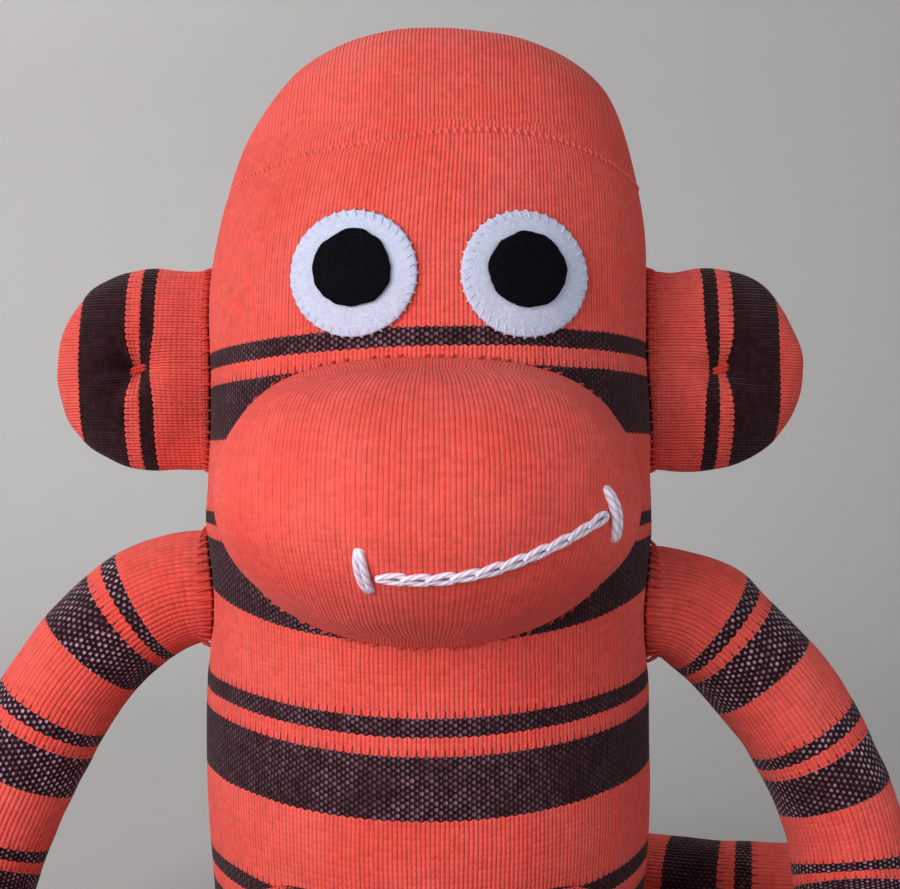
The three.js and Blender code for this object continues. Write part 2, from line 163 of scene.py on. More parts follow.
class Shader:
    """A material under construction, around one Principled BSDF."""

    def __init__(self, name: str, **constants: float | Colour) -> None:
        """Args:
        name: the material's name.
        **constants: values of the Principled BSDF's sockets, with _ for a space.
        """
        self.material = bpy.data.materials.new(name)
        self.material.use_nodes = True
        self.tree = self.material.node_tree
        self.tree.nodes.clear()
        self.surface = self.node("ShaderNodeBsdfPrincipled")
        for key, constant in constants.items():
            socket = self.surface.inputs[key.replace("_", " ")]
            if isinstance(constant, tuple):
                constant = (*constant, 1.0)
            socket.default_value = constant
        output = self.node("ShaderNodeOutputMaterial")
        self.tree.links.new(self.surface.outputs[0], output.inputs["Surface"])

    def node(
        self,
        kind: str,
        settings: dict[str, object] | None = None,
        inputs: dict[str | int, object] | None = None,
    ) -> bpy.types.Node:
        """Adds any node.

        Args:
            kind: the node's type.
            settings: its own settings, set first.
            inputs: a value or a Wire for its sockets, by name or number.

        Returns:
            The node.
        """
        made = self.tree.nodes.new(kind)
        for key, setting in (settings or {}).items():
            setattr(made, key, setting)
        for key, given in (inputs or {}).items():
            if isinstance(given, Wire):
                self.tree.links.new(given.socket, made.inputs[key])
            else:
                made.inputs[key].default_value = given
        return made

    def wire(
        self,
        kind: str,
        settings: dict[str, object] | None = None,
        inputs: dict[str | int, object] | None = None,
        output: str | int = 0,
    ) -> Wire:
        """Adds any node and gives one of its outputs.

        Args:
            kind: the node's type.
            settings: its own settings.
            inputs: a value or a Wire for its sockets.
            output: the output's name or number.

        Returns:
            The output as a Wire.
        """
        return Wire(self, self.node(kind, settings, inputs).outputs[output])

    def maths(self, operation: str, *values: Value) -> Wire:
        """A Math node.

        Args:
            operation: the node's operation.
            *values: its numbers or Wires, in order.

        Returns:
            The result.
        """
        inputs = dict(enumerate(values))
        return self.wire("ShaderNodeMath", {"operation": operation}, inputs)

    def step(self, value: Value, low: float, high: float) -> Wire:
        """A smooth rise from 0 at low to 1 at high, or a fall where high is less than low.

        Args:
            value: what is measured.
            low: where the result is 0.
            high: where the result is 1.

        Returns:
            The smoothed share.
        """
        settings = {"interpolation_type": "SMOOTHSTEP"}
        if low < high:
            return self.wire("ShaderNodeMapRange", settings, {0: value, 1: low, 2: high})
        inputs = {0: value, 1: high, 2: low, 3: 1.0, 4: 0.0}
        return self.wire("ShaderNodeMapRange", settings, inputs)

    def mix(self, share: Value, first: Colour | Wire, second: Colour | Wire) -> Wire:
        """A colour between two others.

        Args:
            share: 0 for the first colour, 1 for the second.
            first: a colour.
            second: a colour.

        Returns:
            The mixed colour.
        """
        pair = [(*c, 1.0) if isinstance(c, tuple) else c for c in (first, second)]
        inputs = {0: share, 6: pair[0], 7: pair[1]}
        return self.wire("ShaderNodeMix", {"data_type": "RGBA"}, inputs, 2)

    def brighten(self, colour: Colour | Wire, share: Value) -> Wire:
        """A colour times a grey number.

        Args:
            colour: the colour.
            share: 1 keeps it as it is.

        Returns:
            The lighter or darker colour.
        """
        grey = self.wire("ShaderNodeCombineXYZ", None, {0: share, 1: share, 2: share})
        inputs = {0: colour, 1: grey}
        return self.wire("ShaderNodeVectorMath", {"operation": "MULTIPLY"}, inputs)

    def speckle(self, scale: float, detail: float = 2.0, rough: float = 0.5) -> Wire:
        """Noise on the object's own place, about 0 to 1 around a half.

        Args:
            scale: lumps to a metre.
            detail: how many finer layers it has.
            rough: how strong the finer layers are.

        Returns:
            The noise.
        """
        place = self.wire("ShaderNodeTexCoord", None, None, "Object")
        inputs = {"Vector": place, "Scale": scale, "Detail": detail, "Roughness": rough}
        return self.wire("ShaderNodeTexNoise", {"noise_dimensions": "3D"}, inputs)

    def dice(self, first: Value, second: Value) -> Wire:
        """A steady random number for each pair of whole numbers.

        Args:
            first: the first number.
            second: the second number.

        Returns:
            A number from 0 to 1.
        """
        pair = self.wire("ShaderNodeCombineXYZ", None, {0: first, 1: second})
        settings = {"noise_dimensions": "2D"}
        return self.wire("ShaderNodeTexWhiteNoise", settings, {"Vector": pair})

    def finish(
        self,
        colour: Wire,
        height: Wire,
        relief: float,
        roughness: Value = 0.9,
        strength: float = 1.0,
    ) -> bpy.types.Material:
        """Joins a finish to the surface.

        Args:
            colour: the surface's colour.
            height: its relief, 0 to 1.
            relief: how high 1 stands, in metres.
            roughness: the surface's roughness.
            strength: how much of the relief is felt.

        Returns:
            The material.
        """
        inputs = {"Strength": strength, "Distance": relief, "Height": height}
        normal = self.wire("ShaderNodeBump", None, inputs, "Normal")
        self.tree.links.new(colour.socket, self.surface.inputs["Base Color"])
        self.tree.links.new(normal.socket, self.surface.inputs["Normal"])
        if isinstance(roughness, Wire):
            self.tree.links.new(roughness.socket, self.surface.inputs["Roughness"])
        else:
            self.surface.inputs["Roughness"].default_value = roughness
        return self.material


@dataclass(frozen=True)
class KnitFinish:
    """Sock knit. It reads a map that counts wales across and courses along.

    The stripe pattern repeats every thirty courses below course 0: three dark, three coral,
    ten dark and fourteen coral, from the top down.
    """

    name: str
    coral: Colour = (0.76, 0.078, 0.058)
    pale: Colour = (0.86, 0.20, 0.17)
    # deep: the darker coral that paints shade into the grooves between stitches
    deep: Colour = (0.56, 0.026, 0.016)
    brown: Colour = (0.016, 0.0035, 0.0045)
    plum: Colour = (0.042, 0.010, 0.017)
    lilac: Colour = (0.74, 0.50, 0.66)
    striped: bool = True
    slope: float = 0.7
    wale: float = 1.9
    course: float = 1.26
    relief_course: float = 1.0
    show_through: float = 0.0
    streaks: float = 0.30
    relief: float = 0.00030
    period: float = 30.0

    def material(self) -> bpy.types.Material:
        """Builds the material.

        Returns:
            The knit material.
        """
        shader = Shader(
            self.name,
            Sheen_Weight=0.10,
            Sheen_Roughness=0.40,
            Sheen_Tint=(1.0, 0.80, 0.80),
            Specular_IOR_Level=0.12,
        )
        place = shader.wire("ShaderNodeUVMap", {"uv_map": KNIT_MAP}, None, "UV")
        parts = shader.node("ShaderNodeSeparateXYZ", None, {0: place})
        wale, course = Wire(shader, parts.outputs[0]), Wire(shader, parts.outputs[1])
        # the stretch value also carries painted light: on the body it is raised where the front is lit
        stretch = shader.wire("ShaderNodeAttribute", {"attribute_name": "stretch"}, None, "Fac")
        wobble = shader.speckle(90.0, 2.0) - 0.5
        wale = wale + wobble * 0.22
        across = shader.maths("FRACT", wale) - 0.5
        side = abs(across)
        legs = shader.maths("SINE", side * (2.0 * math.pi))
        slanted = course - side * self.slope + wobble * 0.3
        stitches = slanted * self.relief_course
        within = shader.maths("FRACT", stitches)
        row = stitches - within
        column = wale - across - 0.5
        luck = shader.dice(column, row)
        left = shader.maths("SIGN", across)
        leg_luck = shader.dice(column * 2.0 + left, row)
        bulge = shader.maths("SINE", within * math.pi)
        gap = shader.step(side, 0.40, 0.5)
        spine = shader.step(side, 0.10, 0.0)
        height = (legs ** 0.6) * (0.62 + bulge * 0.38) - gap * 0.25 + luck * 0.10
        fuzz = shader.speckle(2600.0, 3.0, 0.6)
        height = height + fuzz * 0.22
        # coral
        patch = shader.speckle(45.0, 3.0)
        coral = shader.mix(shader.step(patch, 0.25, 0.80), self.coral, self.pale)
        coral = shader.mix(0.72, coral, self.coral)
        # painted shade: the grooves between wales and down each wale's middle are mixed toward the deep
        # colour, less where the knit is stretched
        coral = shader.mix((gap * 0.42 + spine * 0.16) * (1.0 - stretch * 0.8), coral, self.deep)
        run = shader.dice(column, 3.0) * 0.5 + shader.speckle(60.0, 2.0) * 0.8
        open_gap = shader.step(side, 0.28, 0.5) * (0.45 + bulge * 0.55)
        lit = open_gap * run * (0.5 + leg_luck * 0.5) * stretch * self.streaks
        coral = shader.mix(lit, coral, self.pale)
        if not self.striped:
            return shader.finish(self._worn(shader, coral, leg_luck), height, self.relief)
        # dark stripes
        phase = slanted % self.period
        wide = (phase > 14.0) * (phase < 24.0)
        thin = phase > 27.0
        below = slanted < 0.0
        dark = (wide + thin) * below
        edge = shader.speckle(700.0, 1.0)
        brown = shader.mix(shader.step(edge, 0.35, 0.75) * 0.7, self.brown, self.plum)
        # painted shade: the grooves of the dark stripes are mixed back toward the darkest brown
        brown = shader.mix(gap * 0.4, brown, self.brown)
        dots = self._dots(shader, wale, course * self.relief_course, stretch)
        brown = shader.mix(dots, brown, self.lilac)
        hole = self._holes(shader, phase, side, below)
        coral = shader.mix(hole, coral, self.plum)
        colour = shader.mix(dark, coral, brown)
        return shader.finish(self._worn(shader, colour, leg_luck), height, self.relief)

    def _worn(self, shader: Shader, colour: Wire, luck: Wire) -> Wire:
        """Small differences from stitch to stitch.

        Args:
            shader: the material.
            colour: the knit's colour.
            luck: a random number for each leg of a stitch.

        Returns:
            The uneven colour.
        """
        fibre = shader.speckle(1500.0, 2.0, 0.6)
        return shader.brighten(colour, 0.80 + luck * 0.16 + fibre * 0.26)

    def _dots(self, shader: Shader, wale: Wire, course: Wire, stretch: Wire) -> Wire:
        """Filling that shows between the stretched stitches, on a six-way lattice, and on the body mostly on
        its lit front, as painted light.

        Args:
            shader: the material.
            wale: the wale count.
            course: the count of stitches along.
            stretch: how far the knit is stretched, raised on the body's lit front centre as painted light.

        Returns:
            How much of the filling shows.
        """
        pitch = self.course / self.relief_course
        total: Wire | float = 0.0
        for shift in (0.0, 0.5):
            a = wale + shift
            b = course + shift
            inside_a = shader.maths("FRACT", a) - 0.5
            inside_b = shader.maths("FRACT", b) - 0.5
            luck = shader.dice(a - inside_a + 37.0 * shift, b - inside_b)
            off_a = inside_a * self.wale
            off_b = inside_b * pitch
            far = shader.maths("SQRT", off_a * off_a + off_b * off_b * 0.8)
            reach = 0.27 + luck * 0.16
            near = shader.step(far / reach, 1.15, 0.55)
            total = near * (0.6 + luck * 0.4) + total
        veil = shader.step(shader.speckle(120.0, 2.0), 0.32, 0.62)
        return total * stretch * self.show_through * (0.35 + veil * 0.65)

    def _holes(self, shader: Shader, phase: Wire, side: Wire, below: Wire) -> Wire:
        """Dark specks in the coral course just above each dark stripe.

        Args:
            shader: the material.
            phase: the place in the stripe pattern.
            side: the distance from the wale's middle.
            below: one where stripes are knitted.

        Returns:
            How dark the specks are.
        """
        first = (phase > 24.0) * (phase < 24.9)
        second = phase < 0.9
        return (first + second) * shader.step(side, 0.36, 0.46) * below * 0.75


@dataclass(frozen=True)
class FeltFinish:
    """Pressed wool felt, all fine short fibres."""

    name: str
    base: Colour
    shade: Colour
    sheen: float = 0.3

    def material(self) -> bpy.types.Material:
        """Builds the material.

        Returns:
            The felt material.
        """
        shader = Shader(
            self.name,
            Sheen_Weight=self.sheen,
            Sheen_Roughness=0.5,
            Specular_IOR_Level=0.08,
        )
        fibres = shader.speckle(1900.0, 4.0, 0.7)
        clumps = shader.speckle(420.0, 3.0, 0.6)
        colour = shader.mix(shader.step(fibres, 0.35, 0.70), self.shade, self.base)
        colour = shader.brighten(colour, 0.90 + clumps * 0.20)
        height = fibres * 0.6 + clumps * 0.8
        return shader.finish(colour, height, 0.00028, 0.95)


@dataclass(frozen=True)
class ThreadFinish:
    """Twisted thread or floss. Its map is turns around and millimetres along."""

    name: str
    base: Colour
    shade: Colour
    twist: float = 1.1
    plies: float = 3.0
    relief: float = 0.00012

    def material(self) -> bpy.types.Material:
        """Builds the material.

        Returns:
            The thread material.
        """
        shader = Shader(
            self.name,
            Sheen_Weight=0.25,
            Sheen_Roughness=0.4,
            Specular_IOR_Level=0.35,
        )
        place = shader.wire("ShaderNodeUVMap", {"uv_map": PLY_MAP}, None, "UV")
        parts = shader.node("ShaderNodeSeparateXYZ", None, {0: place})
        around, along = Wire(shader, parts.outputs[0]), Wire(shader, parts.outputs[1])
        turn = shader.maths("FRACT", around * self.plies + along * self.twist)
        strand = shader.maths("SINE", turn * math.pi)
        fibre = shader.speckle(3200.0, 3.0, 0.6)
        colour = shader.mix(strand ** 0.6, self.shade, self.base)
        colour = shader.brighten(colour, 0.84 + fibre * 0.30)
        return shader.finish(colour, strand + fibre * 0.35, self.relief, 0.7)


@dataclass(frozen=True)
class FillingFinish:
    """Loose white fibre, as seen through a gap."""

    name: str = "stuffing_fibre"
    base: Colour = (0.86, 0.85, 0.83)

    def material(self) -> bpy.types.Material:
        """Builds the material.

        Returns:
            The stuffing material.
        """
        shader = Shader(self.name, Sheen_Weight=0.4, Specular_IOR_Level=0.2)
        curls = shader.speckle(900.0, 5.0, 0.7)
        colour = shader.brighten(shader.mix(curls, (0.70, 0.69, 0.67), self.base), 1.0)
        return shader.finish(colour, curls, 0.0006, 0.98)


@dataclass(frozen=True)
class PaperFinish:
    """The studio's plain pale floor and wall."""

    name: str = "studio_paper"
    base: Colour = (0.50, 0.49, 0.48)

    def material(self) -> bpy.types.Material:
        """Builds the material.

        Returns:
            The paper material.
        """
        shader = Shader(self.name, Specular_IOR_Level=0.1)
        grain = shader.speckle(60.0, 2.0)
        colour = shader.brighten(shader.mix(grain, self.base, self.base), 0.985 + grain * 0.03)
        return shader.finish(colour, grain, 0.0001, 0.95, 0.2)


# Shapes


def smooth_path(points: Sequence[Point], spacing: float, rounds: int = 3) -> np.ndarray:
    """A line through points, spaced evenly and with its corners eased.

    Args:
        points: the points to pass near, in millimetres.
        spacing: the distance between the new points.
        rounds: how much the corners are eased.

    Returns:
        The new points, one to a row.
    """
    line = np.array(points, float)
    for _ in range(4):
        middle = (line[:-1] + line[1:]) / 2
        doubled = np.empty((len(line) + len(middle), line.shape[1]))
        doubled[0::2], doubled[1::2] = line, middle
        line = doubled
        for _ in range(rounds):
            line[1:-1] = (line[:-2] + 2 * line[1:-1] + line[2:]) / 4
    steps = np.linalg.norm(np.diff(line, axis=0), axis=1)
    along = np.concatenate([[0.0], np.cumsum(steps)])
    count = max(3, round(along[-1] / spacing) + 1)
    wanted = np.linspace(0.0, along[-1], count)
    return np.column_stack([np.interp(wanted, along, line[:, k]) for k in range(line.shape[1])])


def frames_along(line: np.ndarray, side: Point) -> tuple[np.ndarray, np.ndarray, np.ndarray]:
    """Directions ahead, to the side and up at each point of a line.

    Args:
        line: points along the line.
        side: about where the side direction starts.

    Returns:
        Three arrays of unit vectors.
    """
    ahead = np.gradient(line, axis=0)
    ahead /= np.linalg.norm(ahead, axis=1, keepdims=True)
    sides = np.empty_like(ahead)
    last = np.array(side, float)
    for i, direction in enumerate(ahead):
        last = last - direction * (last @ direction)
        last /= np.linalg.norm(last)
        sides[i] = last
    return ahead, sides, np.cross(ahead, sides)


def lumps(points: np.ndarray, size: float, seed: float) -> np.ndarray:
    """Smooth seeded noise from -1 to 1 at each point.

    Args:
        points: places in millimetres.
        size: how far apart the lumps are.
        seed: which lumps.

    Returns:
        One number for each point.
    """
    shift = Vector((seed * 13.7, seed * 5.1, seed * 9.3 + SEED % 17))
    return np.array([noise.noise(Vector(p) / size + shift) for p in points.reshape(-1, 3)])


def deselect() -> None:
    """Deselects every object, and leaves none active."""
    for thing in bpy.context.scene.objects:
        thing.select_set(False)
    bpy.context.view_layer.objects.active = None


def select_only(piece: bpy.types.Object) -> None:
    """Selects one object and makes it the active one."""
    deselect()
    piece.select_set(True)
    bpy.context.view_layer.objects.active = piece


def add_mesh(name: str, mesh: bmesh.types.BMesh) -> bpy.types.Object:
    """Makes a bmesh an object at the origin, smooth shaded.

    Args:
        name: the object's name.
        mesh: the shape, which is freed.

    Returns:
        The object.
    """
    data = bpy.data.meshes.new(name)
    mesh.to_mesh(data)
    mesh.free()
    data.polygons.foreach_set("use_smooth", [True] * len(data.polygons))
    piece = bpy.data.objects.new(name, data)
    bpy.context.scene.collection.objects.link(piece)
    return piece


def points_of(piece: bpy.types.Object) -> np.ndarray:
    """The object's vertices in millimetres, one to a row."""
    flat = np.zeros(len(piece.data.vertices) * 3, np.float32)
    piece.data.vertices.foreach_get("co", flat)
    return flat.reshape(-1, 3).astype(float) / MM


def move_points(piece: bpy.types.Object, points: np.ndarray) -> None:
    """Puts the object's vertices at new places, in millimetres."""
    piece.data.vertices.foreach_set("co", (points * MM).astype(np.float32).ravel())
    piece.data.update()


def normals_of(piece: bpy.types.Object) -> np.ndarray:
    """The object's vertex normals, one to a row."""
    flat = np.zeros(len(piece.data.vertices) * 3, np.float32)
    piece.data.vertex_normals.foreach_get("vector", flat)
    return flat.reshape(-1, 3).astype(float)


def note(piece: bpy.types.Object, name: str, numbers: np.ndarray) -> None:
    """Stores a number on each vertex, as a named attribute."""
    layer = piece.data.attributes.get(name)
    if layer is None:
        layer = piece.data.attributes.new(name, "FLOAT", "POINT")
    layer.data.foreach_set("value", numbers.astype(np.float32))


def noted(piece: bpy.types.Object, name: str) -> np.ndarray:
    """Reads back a number stored on each vertex."""
    numbers = np.zeros(len(piece.data.vertices), np.float32)
    piece.data.attributes[name].data.foreach_get("value", numbers)
    return numbers.astype(float)


def net(
    name: str, rings: np.ndarray, wales: np.ndarray, courses: np.ndarray, along: np.ndarray
) -> bpy.types.Object:
    """A closed skin from rings of points, with a knit map on it.

    Args:
        name: the object's name.
        rings: points by ring and by place round it, in millimetres.
        wales: the wale count at each place round, one more than the places.
        courses: the course count at each ring.
        along: the distance along at each ring, kept on the vertices.

    Returns:
        The skin.
    """
    rows, columns = rings.shape[:2]
    made = bmesh.new()
    layer = made.loops.layers.uv.new(KNIT_MAP)
    marks = made.verts.layers.float.new("along")
    grid = []
    for i in range(rows):
        ring = [made.verts.new(point * MM) for point in rings[i]]
        for vertex in ring:
            vertex[marks] = along[i]
        grid.append(ring)
    for i in range(rows - 1):
        for j in range(columns):
            k = (j + 1) % columns
            face = made.faces.new((grid[i][j], grid[i][k], grid[i + 1][k], grid[i + 1][j]))
            corners = ((j, i), (j + 1, i), (j + 1, i + 1), (j, i + 1))
            for loop, (a, b) in zip(face.loops, corners):
                loop[layer].uv = (wales[a], courses[b])
    for i in (0, rows - 1):
        centre = made.verts.new(rings[i].mean(axis=0) * MM)
        centre[marks] = along[i]
        reach = np.linalg.norm(rings[i] - rings[i].mean(axis=0), axis=1).mean()
        beyond = courses[i] + reach * np.sign(courses[i] - courses[abs(i - 1)]) / 1.26
        for j in range(columns):
            k = (j + 1) % columns
            face = made.faces.new((grid[i][j], centre, grid[i][k]))
            spots = ((wales[j], courses[i]), (wales[j], beyond), (wales[j + 1], courses[i]))
            for loop, spot in zip(face.loops, spots):
                loop[layer].uv = spot
    bmesh.ops.recalc_face_normals(made, faces=made.faces)
    if made.calc_volume(signed=True) < 0.0:
        bmesh.ops.reverse_faces(made, faces=made.faces)
    return add_mesh(name, made)


def stuff_tight(piece: bpy.types.Object, sewn: np.ndarray, pressure: float, cap: float) -> None:
    """Fills a skin by cloth simulation: filling pushes it out while its sewn places hold.

    Args:
        piece: the skin, at the origin.
        sewn: how firmly each vertex is held, 0 to 1.
        pressure: how hard it is filled.
        cap: how far a point may move, in millimetres.
    """
    before = points_of(piece)
    group = piece.vertex_groups.new(name="sewn")
    for index in np.nonzero(sewn > 0.01)[0]:
        group.add([int(index)], float(sewn[index]), "REPLACE")
    cloth = piece.modifiers.new("stuffed", "CLOTH")
    settings = cloth.settings
    settings.vertex_group_mass = "sewn"
    settings.use_pressure = True
    settings.uniform_pressure_force = pressure
    settings.tension_stiffness = 12.0
    settings.compression_stiffness = 12.0
    settings.shear_stiffness = 4.0
    settings.bending_stiffness = 0.05
    settings.mass = 0.25
    settings.quality = 4
    settings.effector_weights.gravity = 0.0
    cloth.collision_settings.use_collision = False
    cloth.point_cache.frame_start = 1
    cloth.point_cache.frame_end = 16
    scene = bpy.context.scene
    for frame_number in range(1, 15):
        scene.frame_set(frame_number)
    select_only(piece)
    bpy.ops.object.modifier_apply(modifier=cloth.name)
    scene.frame_set(1)
    piece.vertex_groups.clear()
    moved = points_of(piece) - before
    length = np.linalg.norm(moved, axis=1, keepdims=True)
    share = np.minimum(1.0, cap / np.maximum(length, 1e-9))
    move_points(piece, before + np.where(np.isfinite(moved), moved, 0.0) * share)


def subdivide(piece: bpy.types.Object, levels: int = 1) -> None:
    """Smooths a mesh with applied subdivision."""
    select_only(piece)
    modifier = piece.modifiers.new("smooth", "SUBSURF")
    modifier.levels = modifier.render_levels = levels
    modifier.uv_smooth = "PRESERVE_BOUNDARIES"
    bpy.ops.object.modifier_apply(modifier=modifier.name)


def shrunken(
    skin: bpy.types.Object, name: str, inset: float, material: bpy.types.Material
) -> bpy.types.Object:
    """The filling of a skin: a plainer copy a little smaller all round.

    Args:
        skin: the finished skin.
        name: the filling's name.
        inset: how far inside it lies, in millimetres.
        material: its material.

    Returns:
        The filling.
    """
    copy = bpy.data.objects.new(name, skin.data.copy())
    copy.data.name = name
    bpy.context.scene.collection.objects.link(copy)
    select_only(copy)
    thin = copy.modifiers.new("thin", "DECIMATE")
    thin.ratio = 0.35
    bpy.ops.object.modifier_apply(modifier=thin.name)
    surface = Surface(skin)
    points = points_of(copy) - normals_of(copy) * inset
    out = np.zeros(len(points))
    for _ in range(3):
        for k, point in enumerate(points):
            spot, normal = surface.near(point)
            out[k] = float((point - spot) @ normal)
            points[k] = point - normal * max(0.0, inset + out[k])
    stuck = out > -0.5 * inset
    kept = points[~stuck]
    for k in np.nonzero(stuck)[0]:
        points[k] = kept[np.argmin(((kept - points[k]) ** 2).sum(axis=1))]
    move_points(copy, points)
    copy.data.materials.clear()
    copy.data.materials.append(material)
    return copy


def cut_at(piece: bpy.types.Object, distance: float, name: str) -> bpy.types.Object:
    """Parts a skin in two across its length, and closes both ends.

    Args:
        piece: the skin, which keeps the near part.
        distance: where it is parted, as its along attribute counts.
        name: the far part's name.

    Returns:
        The far part.
    """
    far = bpy.data.objects.new(name, piece.data.copy())
    far.data.name = name
    bpy.context.scene.collection.objects.link(far)
    for thing, keep_far in ((piece, False), (far, True)):
        made = bmesh.new()
        made.from_mesh(thing.data)
        marks = made.verts.layers.float["along"]
        gone = []
        for face in made.faces:
            middle = sum(v[marks] for v in face.verts) / len(face.verts)
            if (middle > distance) != keep_far:
                gone.append(face)
        bmesh.ops.delete(made, geom=gone, context="FACES")
        rim = [edge for edge in made.edges if edge.is_boundary]
        for edge in rim:
            edge.smooth = False
        bmesh.ops.contextual_create(made, geom=rim)
        made.to_mesh(thing.data)
        made.free()
        thing.data.update()
    return far


def strands(
    name: str,
    lines: Sequence[np.ndarray],
    radius: float,
    material: bpy.types.Material,
    sides: int = 8,
    blunt: float = 0.75,
) -> bpy.types.Object:
    """Lengths of thread as one mesh, each with rounded ends.

    Args:
        name: the object's name.
        lines: the points that each length follows, in millimetres.
        radius: the thread's radius.
        material: its material.
        sides: how many flats go round it.
        blunt: how wide the first and last rings are, as a share of the radius.

    Returns:
        The thread.
    """
    made = bmesh.new()
    layer = made.loops.layers.uv.new(PLY_MAP)
    angles = np.arange(sides) * 2 * math.pi / sides
    for line in lines:
        ahead, side, up = frames_along(line, (0.31, 0.52, 0.79))
        along = np.concatenate([[0.0], np.cumsum(np.linalg.norm(np.diff(line, axis=0), axis=1))])
        sizes = np.full(len(line), radius)
        sizes[0] = sizes[-1] = radius * blunt
        rings = []
        for i, centre in enumerate(line):
            ring = []
            for angle in angles:
                out = side[i] * math.cos(angle) + up[i] * math.sin(angle)
                ring.append(made.verts.new((centre + out * sizes[i]) * MM))
            rings.append(ring)
        tips = []
        for i, sign in ((0, -1.0), (-1, 1.0)):
            tips.append(made.verts.new((line[i] + ahead[i] * sign * radius * 0.6) * MM))
        for i in range(len(line) - 1):
            for j in range(sides):
                k = (j + 1) % sides
                corners = (rings[i][j], rings[i][k], rings[i + 1][k], rings[i + 1][j])
                face = made.faces.new(corners)
                spots = ((j, i), (j + 1, i), (j + 1, i + 1), (j, i + 1))
                for loop, (a, b) in zip(face.loops, spots):
                    loop[layer].uv = (a / sides, along[b])
        for j in range(sides):
            k = (j + 1) % sides
            made.faces.new((rings[0][k], rings[0][j], tips[0]))
            made.faces.new((rings[-1][j], rings[-1][k], tips[1]))
    bmesh.ops.recalc_face_normals(made, faces=made.faces)
    piece = add_mesh(name, made)
    piece.data.materials.append(material)
    return piece


class Surface:
    """A finished skin that other pieces lie on."""

    def __init__(self, piece: bpy.types.Object) -> None:
        """Args:
        piece: the skin.
        """
        data = piece.data
        corners = [tuple(v.co / MM) for v in data.vertices]
        faces = [tuple(p.vertices) for p in data.polygons if len(p.vertices) < 9]
        self.tree = BVHTree.FromPolygons(corners, faces)

    def front(self, x: float, z: float) -> tuple[np.ndarray, np.ndarray]:
        """The foremost point at a width and height.

        Args:
            x: the width.
            z: the height.

        Returns:
            The point and the outward normal.
        """
        spot, normal, _, _ = self.tree.ray_cast(Vector((x, -200.0, z)), Vector((0, 1, 0)))
        if spot is None:
            return self.near((x, -40.0, z))
        return np.array(spot), np.array(normal)

    def near(self, point: Sequence[float]) -> tuple[np.ndarray, np.ndarray]:
        """The nearest point of the skin.

        Args:
            point: where to look from.

        Returns:
            The point and the outward normal.
        """
        spot, normal, _, _ = self.tree.find_nearest(Vector(point))
        return np.array(spot), np.array(normal)

    def hit(self, point: Sequence[float], direction: Point) -> np.ndarray:
        """Where a line through a point first meets the skin from outside.

        Args:
            point: a point on the line.
            direction: the way in, towards the skin.

        Returns:
            The place on the skin, or the nearest one where the line misses.
        """
        way = Vector(direction)
        spot, _, _, _ = self.tree.ray_cast(Vector(point) - way * 200.0, way)
        return self.near(point)[0] if spot is None else np.array(spot)


def whip(pairs: Sequence[tuple[np.ndarray, np.ndarray, np.ndarray]], lift: float) -> list[np.ndarray]:
    """Whip stitches, each over an edge from one skin to the other.

    Args:
        pairs: for each stitch its two ends and the way outward.
        lift: how high it stands over the edge.

    Returns:
        The points of each stitch.
    """
    made = []
    for first, second, outward in pairs:
        line = []
        for share in np.linspace(0.0, 1.0, 7):
            rise = lift * math.sin(math.pi * share) ** 0.7 - 0.4 * abs(2 * share - 1) ** 6
            line.append(first * (1 - share) + second * share + outward * rise)
        made.append(np.array(line))
    return made


def across_edge(
    under: Surface, outside: np.ndarray, over: Surface, inside: np.ndarray
) -> tuple[np.ndarray, np.ndarray, np.ndarray]:
    """The two ends of a whip stitch, and the way outward between them.

    Args:
        under: the skin that is sewn to.
        outside: where the stitch should enter it.
        over: the skin that is sewn on.
        inside: where the stitch should enter that.

    Returns:
        The end on each skin, and the way outward.
    """
    outer, normal = under.near(outside)
    inner, above = over.near(inside)
    outward = normal + above
    return outer, inner, outward / np.linalg.norm(outward)


def map_by_place(
    piece: bpy.types.Object, place: Callable[[np.ndarray], np.ndarray], above: float = -1e9
) -> None:
    """Lays the knit map from where each vertex is.

    Args:
        piece: the skin.
        place: gives wale and course counts for points in millimetres.
        above: only faces whose middle is higher than this are mapped.
    """
    counts = place(points_of(piece))
    layer = piece.data.uv_layers[KNIT_MAP].data
    for face in piece.data.polygons:
        if face.center.z / MM <= above:
            continue
        for loop in face.loop_indices:
            layer[loop].uv = counts[piece.data.loops[loop].vertex_index]


# The monkey's parts


